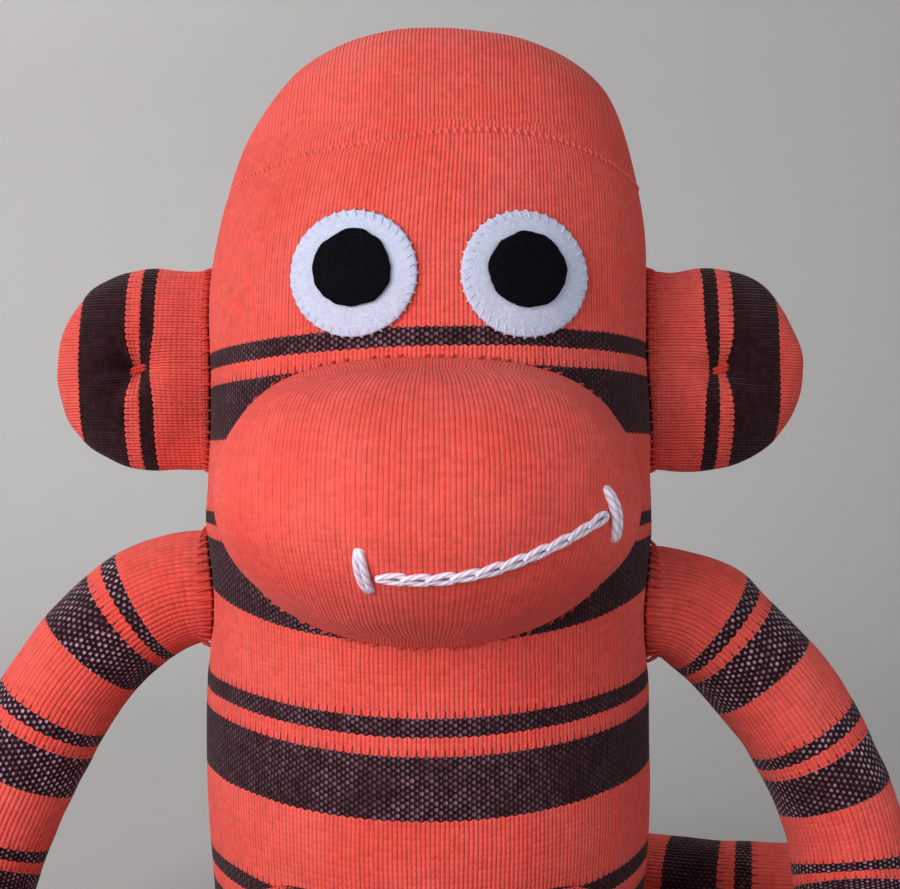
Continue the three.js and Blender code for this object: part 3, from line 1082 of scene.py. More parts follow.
@dataclass(frozen=True)
class Finishes:
    """Every material of the toy, built once."""

    body: bpy.types.Material
    muzzle: bpy.types.Material
    ear: bpy.types.Material
    arm: bpy.types.Material
    leg: bpy.types.Material
    tail: bpy.types.Material
    white_felt: bpy.types.Material
    black_felt: bpy.types.Material
    floss: bpy.types.Material
    coral_thread: bpy.types.Material
    filling: bpy.types.Material

    @classmethod
    def build(cls) -> "Finishes":
        """Builds them all.

        Returns:
            The materials.
        """
        return cls(
            body=KnitFinish("body_knit", wale=1.8, show_through=0.30).material(),
            muzzle=KnitFinish("muzzle_knit", striped=False, wale=1.9, relief=0.00018).material(),
            ear=KnitFinish("ear_knit", wale=1.30, course=1.07, show_through=0.0).material(),
            arm=KnitFinish(
                "arm_knit", wale=2.45, course=1.057, relief_course=0.73, show_through=1.0
            ).material(),
            leg=KnitFinish("leg_knit", wale=1.9, show_through=0.35).material(),
            tail=KnitFinish("tail_knit", wale=2.2, course=1.3, show_through=0.35).material(),
            white_felt=FeltFinish("white_felt", (0.59, 0.63, 0.77), (0.47, 0.51, 0.66), 0.1).material(),
            black_felt=FeltFinish(
                "black_felt", (0.004, 0.004, 0.007), (0.001, 0.001, 0.002), 0.0
            ).material(),
            floss=ThreadFinish(
                "white_floss", (0.84, 0.78, 0.88), (0.50, 0.34, 0.52), twist=0.45
            ).material(),
            coral_thread=ThreadFinish(
                "coral_thread", (0.74, 0.040, 0.026), (0.44, 0.012, 0.008)
            ).material(),
            filling=FillingFinish().material(),
        )


def dress(piece: bpy.types.Object, material: bpy.types.Material) -> None:
    """Gives a piece its one material."""
    piece.data.materials.clear()
    piece.data.materials.append(material)


def declare(
    piece: bpy.types.Object, node: str, body: str = "", fill: float = 0.0
) -> None:
    """Hides the CAD node that a finished piece replaces, and rides the piece on its body.

    Args:
        piece: the piece.
        node: the CAD node that it replaces, or nothing for an extra piece.
        body: the body that it rides on, or nothing where it is blended.
        fill: not used.
    """
    if body:
        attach(piece, body)
    if node:
        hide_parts(node)


@dataclass
class SockBody:
    """Head and body: one sock tube, with its toe on top and its toe seam on the forehead."""

    profile: tuple[tuple[float, float], ...] = (
        (0.0, 0.3), (18.0, 0.2), (34.0, 0.3), (43.0, 3.0), (47.5, 12.0), (49.2, 27.0),
        (51.7, 52.0), (50.0, 85.0), (51.5, 105.0), (50.5, 128.0), (50.4, 150.0), (50.0, 170.0),
        (48.0, 181.0), (46.2, 188.8), (43.0, 198.3), (38.8, 206.5), (32.8, 213.2),
        (25.0, 217.5), (14.0, 219.7), (6.0, 220.2), (0.0, 220.3),
    )
    depth: float = 0.91
    wales: int = 168
    columns: int = 112
    course: float = 1.2633
    stripe_top: float = 150.0
    crown_lean: float = 2.9
    seam_line: tuple[tuple[float, float], ...] = (
        (-46.0, 183.0), (-38.0, 184.9), (-28.0, 186.8), (-11.0, 188.6), (0.0, 190.0),
        (10.0, 190.9), (18.0, 191.1), (27.0, 190.2), (36.0, 188.0), (48.0, 184.2),
    )
    toe_top: float = 192.5
    arm_roots: tuple[Point, Point] = ((50.0, 0.0, 92.5), (-50.0, 0.0, 96.0))
    skin: bpy.types.Object = field(init=False)
    filling: bpy.types.Object = field(init=False)
    surface: Surface = field(init=False)

    def seam(self, x: float) -> float:
        """The toe seam's height over the forehead at a width."""
        widths, heights = zip(*self.seam_line)
        return float(np.interp(x, widths, heights))

    def build(self, finishes: Finishes) -> None:
        """Builds the skin and its filling.

        Args:
            finishes: the toy's materials.
        """
        line = smooth_path(self.profile, 2.6, 1)
        line = line[line[:, 0] > 1.6]
        turn = np.arange(self.columns) * 2 * math.pi / self.columns
        lean = self.crown_lean * np.clip((line[:, 1:] - 165.0) / 42.0, 0.0, 1.0) ** 1.3
        rings = np.stack(
            [
                line[:, :1] * np.sin(turn) + lean,
                line[:, :1] * np.cos(turn) * self.depth,
                np.repeat(line[:, 1:], self.columns, axis=1),
            ],
            axis=2,
        )
        steps = np.linalg.norm(np.diff(line, axis=0), axis=1)
        along = np.concatenate([[0.0], np.cumsum(steps)])
        level = np.interp(self.stripe_top, line[:, 1], along)
        side_courses = (line[:, 1] - self.stripe_top) / self.course
        courses = np.where(line[:, 1] < 30.0, 0.0, side_courses)
        low = np.argmax(line[:, 1] >= 30.0)
        courses[:low] = side_courses[low] - (along[low] - along[:low]) / self.course
        high = line[:, 1] > self.stripe_top
        courses[high] = (along[high] - level) / self.course
        wales = np.arange(self.columns + 1) * self.wales / self.columns
        self.skin = net("body_skin_knit", rings, wales, courses, along)
        self._shape()
        self._bow()
        map_by_place(self.skin, self._toe_place, self.toe_top)
        subdivide(self.skin)
        self._groove()
        dress(self.skin, finishes.body)
        points = points_of(self.skin)
        # painted light: the knit's stretch value is raised on the lit front centre of the body, which paints
        # pale streaks, filling dots and lighter grooves there
        light = np.exp(-((points[:, 0] + 8) ** 2) / 900.0) * (points[:, 1] < 0)
        note(self.skin, "stretch", 0.12 + 0.9 * light)
        self.filling = shrunken(self.skin, "body_stuffing_fill", 1.7, finishes.filling)
        self.surface = Surface(self.skin)

    def _shape(self) -> None:
        """Lumps from the filling, the drawn-in arm roots, and the simulated fill."""
        points = points_of(self.skin)
        outward = normals_of(self.skin)
        push = -0.9 + 0.75 * lumps(points, 26.0, 1.0) + 0.28 * lumps(points, 10.0, 2.0)
        sewn = np.zeros(len(points))
        for root in self.arm_roots:
            off = points - np.array(root)
            far = np.hypot(off[:, 1], off[:, 2])
            near_side = np.sign(root[0]) * points[:, 0] > 20.0
            turn = np.arctan2(off[:, 2], off[:, 1])
            pull = np.exp(-((far / 13.0) ** 4))
            pucker = np.exp(-(((far - 17.0) / 4.5) ** 2)) * np.sin(turn * 13.0)
            push -= near_side * (1.2 * pull - 0.35 * pucker)
            sewn = np.maximum(sewn, near_side * np.exp(-(((far - 13.0) / 3.0) ** 2)))
        bottom = points[:, 2] < 1.5
        sewn[bottom] = 1.0
        push[bottom] = 0.0
        move_points(self.skin, points + outward * push[:, None])
        stuff_tight(self.skin, sewn, 2.5, 2.2)

    def _bow(self) -> None:
        """Bends the stripes: up over the eyes, and down in front under the chin."""
        points = points_of(self.skin)
        x, z = points[:, 0], points[:, 2]
        brow_tilt, brow_bow = 0.027, 0.0008
        body_bow, chin_bow, chin_drop = 0.0018, 0.0028, 5.5
        rise = 1.0 + brow_tilt * x - brow_bow * x**2
        rise *= np.clip((z - 112.0) / 30.0, 0.0, 1.0) * np.clip((190.0 - z) / 25.0, 0.0, 1.0)
        chin = np.exp(-(((z - 96.0) / 9.0) ** 2))
        chin *= np.clip(0.5 - points[:, 1] / 40.0, 0.0, 1.0)
        sag = (body_bow + chin_bow * chin) * x**2 - chin_drop * chin
        rise += sag * np.clip((118.0 - z) / 14.0, 0.0, 1.0)
        layer = self.skin.data.uv_layers[KNIT_MAP].data
        for loop in self.skin.data.loops:
            layer[loop.index].uv[1] -= rise[loop.vertex_index] / self.course

    def _toe_place(self, points: np.ndarray) -> np.ndarray:
        """Wale and course counts on the toe, where wales run from front to back."""
        turn = np.arctan2(points[:, 1] / self.depth, points[:, 2] - 178.0)
        return np.column_stack([points[:, 0] / 1.62 + 40.0, 60.0 + turn * 42.0 / self.course])

    def _groove(self) -> None:
        """Draws the skin in along the toe seam."""
        points = points_of(self.skin)
        widths, heights = zip(*self.seam_line)
        front = np.clip((-points[:, 1] - 6.0) / 12.0, 0.0, 1.0)
        off = points[:, 2] - np.interp(points[:, 0], widths, heights)
        push = -0.40 * np.exp(-((off / 1.2) ** 2)) + 0.30 * np.exp(-(((off - 3.2) / 1.8) ** 2))
        move_points(self.skin, points + normals_of(self.skin) * (push * front)[:, None])

    def attach(self) -> None:
        """Joins the skin to the frame: it bends at the neck."""
        for piece, nodes in (
            (self.skin, ("torso_skin", "head_skin")),
            (self.filling, ("torso_stuffing", "head_stuffing")),
        ):
            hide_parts(*nodes)
            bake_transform(piece, "torso", "head", start=(0, 0, 0.070), end=(0, 0, 0.100))


@dataclass
class ToeSeam:
    """The linked toe seam: a row of small slanted loops across the forehead."""

    body: SockBody
    pitch: float = 1.62
    loop_radius: float = 0.32
    start: float = -43.5
    end: float = 46.5

    def build(self, finishes: Finishes) -> list[bpy.types.Object]:
        """Builds and places the seam.

        Args:
            finishes: the toy's materials.

        Returns:
            The seam's pieces.
        """
        loops, cord = [], []
        x = self.start
        while x < self.end:
            spot, normal = self.body.surface.front(x, self.body.seam(x))
            tangent = np.cross(normal, (0.0, 0.0, 1.0))
            tangent /= np.linalg.norm(tangent)
            up = np.cross(tangent, normal)
            luck = lumps(spot[None, :] * 1.37, 3.0, 5.0)[0]
            low = spot - up * 0.55 - tangent * 0.22
            high = spot + up * (0.62 + 0.35 * luck) + tangent * 0.30
            line = []
            for share in np.linspace(0.0, 1.0, 5):
                rise = -0.22 + (0.34 + 0.14 * luck) * math.sin(math.pi * share)
                line.append(low * (1 - share) + high * share + normal * rise)
            loops.append(np.array(line))
            cord.append(spot - normal * 0.20 - up * 0.35)
            x += self.pitch * abs(float(tangent[0]))
        seam = strands("toe_seam_loops", loops, self.loop_radius, seam_material(), 6)
        under = strands("toe_seam_thread", [np.array(cord)], 0.25, finishes.coral_thread, 6)
        declare(seam, "toe_seam", "head")
        declare(under, "", "head")
        return [seam, under]


def seam_material() -> bpy.types.Material:
    """The paler yarn of the linked seam, which is stretched over the filling."""
    return ThreadFinish("seam_yarn", (0.82, 0.13, 0.105), (0.74, 0.075, 0.058)).material()


@dataclass
class Muzzle:
    """The heel of the second sock, sewn over filling as the muzzle."""

    body: SockBody
    centre: Point = (0.0, -36.0, 116.6)
    half: Point = (44.0, 45.0, 29.2)
    stitches: int = 78
    columns: int = 104
    rows: int = 40
    wale: float = 1.9
    skin: bpy.types.Object = field(init=False)
    surface: Surface = field(init=False)
    rim: list[np.ndarray] = field(init=False, default_factory=list)

    def _point(self, turn: float, lean: float) -> np.ndarray:
        """A point of the muzzle's round form, by its turn and its lean from the front."""
        across, up = math.cos(turn), math.sin(turn)
        if up > 0.0:
            square = 1.0 + 0.075 * math.sin(2 * turn) ** 2
            across, up = across * square, up * square
        return np.array(
            [
                self.centre[0] + self.half[0] * math.sin(lean) * across,
                self.centre[1] - self.half[1] * math.cos(lean),
                self.centre[2] + self.half[2] * math.sin(lean) * up,
            ]
        )

    def _inside(self, point: np.ndarray) -> bool:
        """True where a point is inside the body's skin."""
        spot, normal = self.body.surface.near(point)
        return float((point - spot) @ normal) < 0.25

    def build(self, finishes: Finishes) -> list[bpy.types.Object]:
        """Builds the skin, its filling and the stitches round it.

        Args:
            finishes: the toy's materials.

        Returns:
            The muzzle's pieces.
        """
        columns = []
        for j in range(self.columns):
            turn = 2 * math.pi * j / self.columns
            low, high = 0.8, 2.3
            for _ in range(12):
                middle = (low + high) / 2
                if self._inside(self._point(turn, middle)):
                    high = middle
                else:
                    low = middle
            leans = low * np.linspace(0.02, 1.0, self.rows) ** 0.92
            column = [self._point(turn, lean) for lean in leans]
            rim = column[-1]
            self.rim.append(rim)
            for share in (0.985, 0.93, 0.8, 0.6, 0.35, 0.1):
                x = self.centre[0] + (rim[0] - self.centre[0]) * share
                z = self.centre[2] + (rim[2] - self.centre[2]) * share
                spot = self.body.surface.hit((x, rim[1], z), (0, 1, 0))
                column.append(np.array([x, min(spot[1], rim[1] + 1.0) - 0.35, z]))
            columns.append(column)
        rings = np.array(columns).transpose(1, 0, 2)
        count = len(rings)
        along = np.arange(count, dtype=float)
        wales = np.arange(self.columns + 1, dtype=float)
        self.skin = net("muzzle_skin_knit", rings, wales, along, along)
        points = points_of(self.skin)
        rows = noted(self.skin, "along")
        free = np.clip((self.rows - 1 - rows) / 4.0, 0.0, 1.0)
        push = -1.1 + 0.6 * lumps(points, 17.0, 4.0) + 0.22 * lumps(points, 7.0, 5.0)
        turn = np.arctan2(points[:, 2] - self.centre[2], points[:, 0] - self.centre[0])
        edge = np.exp(-(((rows - self.rows + 4) / 2.2) ** 2))
        push += 0.22 * edge * np.sin(turn * 37.0 + 3.0 * np.sin(turn * 5.0))
        move_points(self.skin, points + normals_of(self.skin) * (push * free)[:, None])
        stuff_tight(self.skin, 1.0 - free, 3.0, 2.0)
        map_by_place(self.skin, self._place)
        subdivide(self.skin)
        dress(self.skin, finishes.muzzle)
        note(self.skin, "stretch", np.full(len(self.skin.data.vertices), 0.25))
        self.surface = Surface(self.skin)
        filling = shrunken(self.skin, "muzzle_stuffing_fill", 1.5, finishes.filling)
        stitches = self._stitches(finishes)
        declare(self.skin, "muzzle_skin", "head", 0.85)
        declare(filling, "muzzle_stuffing", "head")
        declare(stitches, "muzzle_stitches", "head")
        return [self.skin, filling, stitches]

    def _place(self, points: np.ndarray) -> np.ndarray:
        """Wale and course counts: wales run up the muzzle."""
        x = (points[:, 0] - self.centre[0]) / self.half[0]
        y = (self.centre[1] - points[:, 1]) / self.half[1]
        z = np.clip((points[:, 2] - self.centre[2]) / self.half[2], -1.0, 1.0)
        wide = np.sqrt(np.maximum(1.0 - z * z, 0.02)) ** 0.75
        around = np.arctan2(x, np.maximum(y, 0.0) + 0.02) * wide * 42.5
        return np.column_stack([around / self.wale, np.arcsin(z) * 32.0 / 1.26 + 0.2])

    def _stitches(self, finishes: Finishes) -> bpy.types.Object:
        """Small whip stitches of coral thread round the rim."""
        pairs = []
        middle = np.mean(self.rim, axis=0)
        for k in range(self.stitches):
            place = k * self.columns / self.stitches
            rim = self.rim[int(place) % self.columns]
            ahead = self.rim[int(place + 1) % self.columns]
            inward = middle - rim
            inward[1] = 0.0
            inward /= np.linalg.norm(inward)
            slant = (ahead - rim) * 0.25
            outside = rim - inward * 0.55 - slant
            inside = rim + inward * 0.35 + slant + (0.0, -0.7, 0.0)
            pairs.append(across_edge(self.body.surface, outside, self.surface, inside))
        return strands("muzzle_whip_stitches", whip(pairs, 0.05), 0.22, finishes.coral_thread, 6)


@dataclass
class Eye:
    """A felt eye: a white disc whipped to the head, and a smaller black disc on it."""

    side: Side
    body: SockBody
    x: float
    z: float = 161.8
    white_radius: float = 12.7
    black_radius: float = 7.6
    felt: float = 1.2
    stitches: int = 40

    def build(self, finishes: Finishes) -> list[bpy.types.Object]:
        """Builds the discs and the stitches.

        Args:
            finishes: the toy's materials.

        Returns:
            The eye's pieces.
        """
        word = self.side.word
        white = self._disc(f"eye_white_felt_{word}", self.white_radius, 0.0, 0.15, 0.20)
        black = self._disc(f"eye_black_felt_{word}", self.black_radius, 0.8, self.felt + 0.2, 0.5)
        dress(white, finishes.white_felt)
        dress(black, finishes.black_felt)
        thread = self._whips(finishes)
        declare(white, f"eye_white_{word}", "head")
        declare(black, f"eye_black_{word}", "head")
        declare(thread, f"eye_stitches_{word}", "head")
        return [white, black, thread]

    def _disc(
        self, name: str, radius: float, rise: float, lift: float, rough: float
    ) -> bpy.types.Object:
        """Cuts one felt disc and lays it on the head.

        Args:
            name: the disc's name.
            radius: its radius.
            rise: how far above the eye's middle it sits.
            lift: how far off the skin its back is.
            rough: how uneven the cut is.

        Returns:
            The disc.
        """
        deselect()
        bpy.ops.mesh.primitive_cylinder_add(
            vertices=80, radius=radius * MM, depth=self.felt * MM, end_fill_type="NGON"
        )
        disc = bpy.context.active_object
        disc.name = disc.data.name = name
        bpy.ops.object.mode_set(mode="EDIT")
        made = bmesh.from_edit_mesh(disc.data)
        for face in made.faces:
            face.select_set(abs(face.normal.z) > 0.9)
        bmesh.update_edit_mesh(disc.data)
        bpy.ops.mesh.select_mode(type="FACE")
        for width in (0.5, 1.0, 1.5, 1.8, 1.8):
            if width * 1.2 < radius:
                bpy.ops.mesh.inset(thickness=width * MM)
        made = bmesh.from_edit_mesh(disc.data)
        for edge in made.edges:
            far = min(math.hypot(v.co.x, v.co.y) for v in edge.verts)
            flat = abs(edge.verts[0].co.z - edge.verts[1].co.z) < 1e-6
            edge.select_set(far > (radius - 0.05) * MM and flat)
        made.select_mode = {"EDGE"}
        bmesh.update_edit_mesh(disc.data)
        bpy.ops.mesh.select_mode(type="EDGE")
        bpy.ops.mesh.bevel(offset=0.32 * MM, segments=3, affect="EDGES")
        bpy.ops.object.mode_set(mode="OBJECT")
        bpy.ops.object.shade_smooth()
        points = points_of(disc)
        turn = np.arctan2(points[:, 1], points[:, 0])
        far = np.hypot(points[:, 0], points[:, 1]) / radius
        seed = self.x * 0.37 + radius
        ring = np.column_stack([np.cos(turn), np.sin(turn), np.full(len(turn), seed)])
        uneven = 1.0 + rough / radius * (lumps(ring, 0.55, seed) + 0.5 * lumps(ring, 0.22, 2.0))
        dimple = 0.0
        if radius > 10.0:
            dimple = 0.16 * np.cos(turn * self.stitches) * np.clip((far - 0.8) / 0.15, 0.0, 1.0)
            uneven = uneven - 0.004 * (1 - np.cos(turn * self.stitches))
        x = self.x + points[:, 0] * uneven
        z = self.z + rise + points[:, 1] * uneven
        height = points[:, 2] + self.felt / 2
        height = height - 0.35 * np.clip((far - 0.8) / 0.2, 0.0, 1.0) ** 2 * (height > 0.5)
        height = height + dimple * (height > 0.5) * 0.6
        fine = 0.10 * lumps(np.column_stack([x, z, height]), 1.6, 6.0)
        placed = []
        for k in range(len(points)):
            spot, normal = self.body.surface.front(float(x[k]), float(z[k]))
            placed.append(spot + normal * (lift + height[k] + fine[k]))
        move_points(disc, np.array(placed))
        return disc

    def _whips(self, finishes: Finishes) -> bpy.types.Object:
        """White stitches over the white disc's edge."""
        lines = []
        for k in range(self.stitches):
            turn = 2 * math.pi * (k + 0.5) / self.stitches
            luck = lumps(np.array([[k * 1.0, self.x, 0.0]]), 1.7, 8.0)[0]
            line = []
            inner = self.white_radius - 1.9 - 0.5 * luck
            for far, height in (
                (inner, 0.75),
                (inner + 0.4, 1.02),
                (self.white_radius - 0.7, 0.98),
                (self.white_radius - 0.15, 0.72),
                (self.white_radius + 0.08, 0.30),
                (self.white_radius + 0.12, -0.20),
            ):
                lean = turn + 0.035 * (far - inner)
                x = self.x + far * math.cos(lean)
                z = self.z + far * math.sin(lean)
                spot, normal = self.body.surface.front(x, z)
                line.append(spot + normal * (0.15 + height))
            lines.append(np.array(line))
        name = f"eye_whip_stitches_{self.side.word}"
        return strands(name, lines, 0.23, finishes.white_felt, 6)


@dataclass
class Mouth:
    """The mouth of white floss: one line of chain stitch with a bar at each end."""

    muzzle: Muzzle
    line: tuple[tuple[float, float], ...] = (
        (-8.0, 105.0), (-2.0, 104.6), (1.5, 104.6), (10.0, 105.4), (18.0, 108.2),
        (27.0, 111.8), (32.8, 115.2),
    )
    links: int = 10
    floss: float = 0.56
    half_width: float = 0.85

    def _on(self, x: float, z: float, lift: float) -> tuple[np.ndarray, np.ndarray]:
        """A point over the muzzle at a width and height, and the way outward."""
        spot, normal = self.muzzle.surface.front(x, z)
        return spot + normal * lift, normal

    def build(self, finishes: Finishes) -> list[bpy.types.Object]:
        """Builds the chain and the bars.

        Args:
            finishes: the toy's materials.

        Returns:
            The mouth's pieces.
        """
        flat = tuple((x, z, 0.0) for x, z in self.line)
        path = smooth_path(flat, 0.25, 2)[:, :2]
        chain = strands(
            "mouth_chain_links", self._chain(path), self.floss, finishes.floss, 10, 0.9
        )
        right = strands(
            "mouth_bar_floss_right",
            self._bar(((-11.3, 109.9), (-10.8, 105.8), (-9.5, 101.8)), (-0.65, 0.55), 0.25),
            0.72,
            finishes.floss,
            10,
        )
        left = strands(
            "mouth_bar_floss_left",
            self._bar(((33.0, 120.2), (35.0, 115.6), (35.1, 110.0)), (-0.42, 0.42), 0.45),
            0.82,
            finishes.floss,
            10,
        )
        pieces = [chain, right, left]
        nodes = ("mouth_chain_stitch", "mouth_bar_right", "mouth_bar_left")
        for piece, node in zip(pieces, nodes):
            declare(piece, node, "head")
        return pieces

    def _chain(self, path: np.ndarray) -> list[np.ndarray]:
        """Each chain link: a narrow loop that opens out and is caught by the next."""
        lines = []
        step = (len(path) - 1) / self.links
        for k in range(self.links):
            start, end = k * step, min((k + 1) * step + step * 0.22, len(path) - 1.0)
            luck = lumps(np.array([[k * 1.0, 2.0, 3.0]]), 1.3, 9.0)[0]
            line = []
            for turn in np.linspace(0.0, 2 * math.pi, 22):
                share = (1 - math.cos(turn)) / 2
                wide = math.sin(turn) * (0.35 + 0.65 * share) * self.half_width
                wide *= 1.0 + 0.35 * luck
                place = start + (end - start) * share
                low = int(min(place, len(path) - 2))
                spot = path[low] + (path[low + 1] - path[low]) * (place - low)
                way = path[min(low + 4, len(path) - 1)] - path[max(low - 4, 0)]
                way /= np.linalg.norm(way)
                x, z = spot + np.array([-way[1], way[0]]) * wide
                lift = 0.15 + 0.55 * (1 - share) ** 2 + 0.25 * math.sin(turn / 2)
                line.append(self._on(float(x), float(z), lift)[0])
            lines.append(np.array(line))
        return lines

    def _bar(
        self, points: Sequence[tuple[float, float]], offsets: Sequence[float], lift: float
    ) -> list[np.ndarray]:
        """A straight stitch of two strands side by side.

        Args:
            points: the stitch's line, as widths and heights.
            offsets: how far each strand lies to the side.
            lift: how high its middle stands.

        Returns:
            The strands' points.
        """
        path = smooth_path(tuple((x, z, 0.0) for x, z in points), 0.5, 2)[:, :2]
        lines = []
        for offset in offsets:
            line = []
            for k, (x, z) in enumerate(path):
                share = k / (len(path) - 1)
                swell = math.sin(math.pi * share) ** 0.4
                rise = -0.7 + (1.0 + lift) * swell
                line.append(self._on(x + offset * swell, z, rise)[0])
            lines.append(np.array(line))
        return lines


@dataclass
class Ear:
    """A D-shaped striped ear, stuffed, with one dimple stitch pulled through it."""

    side: Side
    body: SockBody
    root: float = 50.6
    height: float = 145.0
    half_height: float = 23.9
    reach: float = 35.0
    half_depth: float = 10.2
    root_depth: float = 5.4
    dimple: float = 65.6
    columns: int = 104
    rows: int = 28
    wale: float = 1.30
    course: float = 1.07

    def _ring(self, share: float) -> np.ndarray:
        """One upright oval ring of the ear.

        Args:
            share: how far out from the head it is, 0 to 1.

        Returns:
            The ring's points.
        """
        x = self.root + self.reach * share
        out = max(0.0, (share - 0.22) / 0.78)
        tall = self.half_height * math.sqrt(max(0.0, 1.0 - out**2.7))
        tall *= 0.955 + 0.045 * math.sin(math.pi * min(1.0, share / 0.4) / 2)
        deep = self.root_depth + (self.half_depth - self.root_depth) * math.sin(
            math.pi * min(1.0, share / 0.42) / 2
        )
        deep *= math.sqrt(max(0.0, 1.0 - max(0.0, (share - 0.35) / 0.65) ** 2.2))
        turn = np.arange(self.columns) * 2 * math.pi / self.columns
        up, front = np.cos(turn), np.sin(turn)
        up = np.sign(up) * np.abs(up) ** 0.9
        return np.column_stack(
            [
                np.full(self.columns, x * self.side.value),
                front * np.abs(front) ** 0.15 * deep,
                self.height + up * tall,
            ]
        )

    def build(self, finishes: Finishes) -> list[bpy.types.Object]:
        """Builds the skin, its filling, the dimple thread and the root's stitches.

        Args:
            finishes: the toy's materials.

        Returns:
            The ear's pieces.
        """
        word = self.side.word
        shares = 1.0 - (1.0 - np.linspace(0.0, 1.0, self.rows)) ** 1.5
        shares[-1] = 0.994
        rings = [self._ring(share) for share in shares]
        first = rings[0]
        centre = first.mean(axis=0)
        caps = [centre + (first - centre) * share for share in (0.12, 0.4, 0.7, 0.9)]
        way = (-float(self.side.value), 0.0, 0.0)
        conformed = []
        for ring in [*caps, first]:
            spots = [self.body.surface.hit(p, way) for p in ring]
            conformed.append(np.array(spots) - np.array(way) * 0.4)
        rings = np.array([*conformed, *rings[1:]])
        along = np.concatenate([np.linspace(-0.5, -0.1, len(caps)), shares * self.reach])
        counts = -along / self.course
        wales = np.arange(self.columns + 1, dtype=float)
        skin = net(f"ear_skin_knit_{word}", rings, wales, counts, along)
        points = points_of(skin)
        rows = noted(skin, "along")
        free = np.clip(rows / 3.0, 0.0, 1.0)
        seed = 11.0 + self.side.value
        push = -0.9 + 0.8 * lumps(points, 14.0, seed) + 0.35 * lumps(points, 6.0, seed + 1)
        points = points + normals_of(skin) * (push * free)[:, None]
        across = np.abs(points[:, 0]) - self.dimple
        rise = points[:, 2] - self.height
        far = np.hypot(across, rise)
        turn = np.arctan2(rise, across)
        hollow = 6.5 * np.exp(-((far / 4.2) ** 1.4))
        crease = 1.5 * np.exp(-((rise / 1.6) ** 2)) * np.exp(-(((across + 4.0) / 6.0) ** 2))
        rays = 0.45 * np.exp(-(((far - 5.0) / 4.0) ** 2)) * np.cos(turn * 7.0 + seed)
        pull = (hollow + crease - rays) * free
        points[:, 1] -= np.sign(points[:, 1]) * np.minimum(pull, np.abs(points[:, 1]) * 0.8)
        move_points(skin, points)
        sewn = np.maximum(1.0 - free, np.exp(-((far / 2.4) ** 2)))
        stuff_tight(skin, sewn, 3.5, 2.0)
        map_by_place(skin, self._place)
        subdivide(skin)
        dress(skin, finishes.ear)
        note(skin, "stretch", np.full(len(skin.data.vertices), 0.35))
        filling = shrunken(skin, f"ear_stuffing_fill_{word}", 1.4, finishes.filling)
        surface = Surface(skin)
        thread = self._dimple_thread(finishes, surface)
        stitches = self._root_stitches(finishes, surface)
        hinge = self.side.value
        for piece in (skin, filling):
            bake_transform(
                piece, "head", f"ear_{word}", start=(0.052 * hinge, 0, 0.145),
                end=(0.062 * hinge, 0, 0.145),
            )
        declare(skin, f"ear_skin_{word}", fill=0.8)
        declare(filling, f"ear_stuffing_{word}")
        declare(thread, f"ear_dimple_thread_{word}", f"ear_{word}")
        declare(stitches, f"ear_stitches_{word}", "head")
        return [skin, filling, thread, stitches]

    def _place(self, points: np.ndarray) -> np.ndarray:
        """Wale and course counts: wales run out from the head, one above the other."""
        across = np.abs(points[:, 0]) - self.dimple
        rise = points[:, 2] - self.height
        far = np.hypot(across, rise)
        drawn = 3.2 * np.exp(-((far / 6.0) ** 2)) / (far + 1.0)
        out = across * (1.0 + drawn) + self.dimple - self.root - 10.9
        up = rise * (1.0 + drawn * 0.6)
        return np.column_stack([up / self.wale + 300.0, -out / self.course])

    def _dimple_thread(self, finishes: Finishes, surface: Surface) -> bpy.types.Object:
        """The coral thread pulled through from front to back."""
        lines = []
        x = self.dimple * self.side.value
        for face in (-1, 1):
            for lean in (-0.45, 0.4):
                start = (x - 1.8, 9.0 * face, self.height - 0.6 + lean)
                end = (x + 1.8, 9.0 * face, self.height + 0.5 + lean)
                line = []
                for share in np.linspace(0.0, 1.0, 7):
                    aim = np.array(start) * (1 - share) + np.array(end) * share
                    spot = surface.hit(aim, (0.0, -float(face), 0.0))
                    rise = -0.3 + 0.9 * math.sin(math.pi * share)
                    line.append(spot + np.array((0.0, face * rise, 0.0)))
                lines.append(np.array(line))
        lines.append(np.array([[x + 0.4, y, self.height] for y in (-2.5, 0.0, 2.5)]))
        name = f"ear_dimple_floss_{self.side.word}"
        return strands(name, lines, 0.42, finishes.coral_thread, 8)

    def _root_stitches(self, finishes: Finishes, surface: Surface) -> bpy.types.Object:
        """Whip stitches where the ear is sewn to the head."""
        pairs = []
        ring = self._ring(0.0)
        sign = float(self.side.value)
        for k in range(0, self.columns, 2):
            point = ring[k]
            away = point - np.array([point[0], 0.0, self.height])
            away /= np.linalg.norm(away)
            slant = np.array([0.0, -away[2], away[1]]) * 0.4
            outside = point + away * 0.7 - slant
            inside = point + np.array([1.0 * sign, 0.0, 0.0]) + slant
            pairs.append(across_edge(self.body.surface, outside, surface, inside))
        name = f"ear_whip_stitches_{self.side.word}"
        return strands(name, whip(pairs, 0.05), 0.24, finishes.coral_thread, 6)


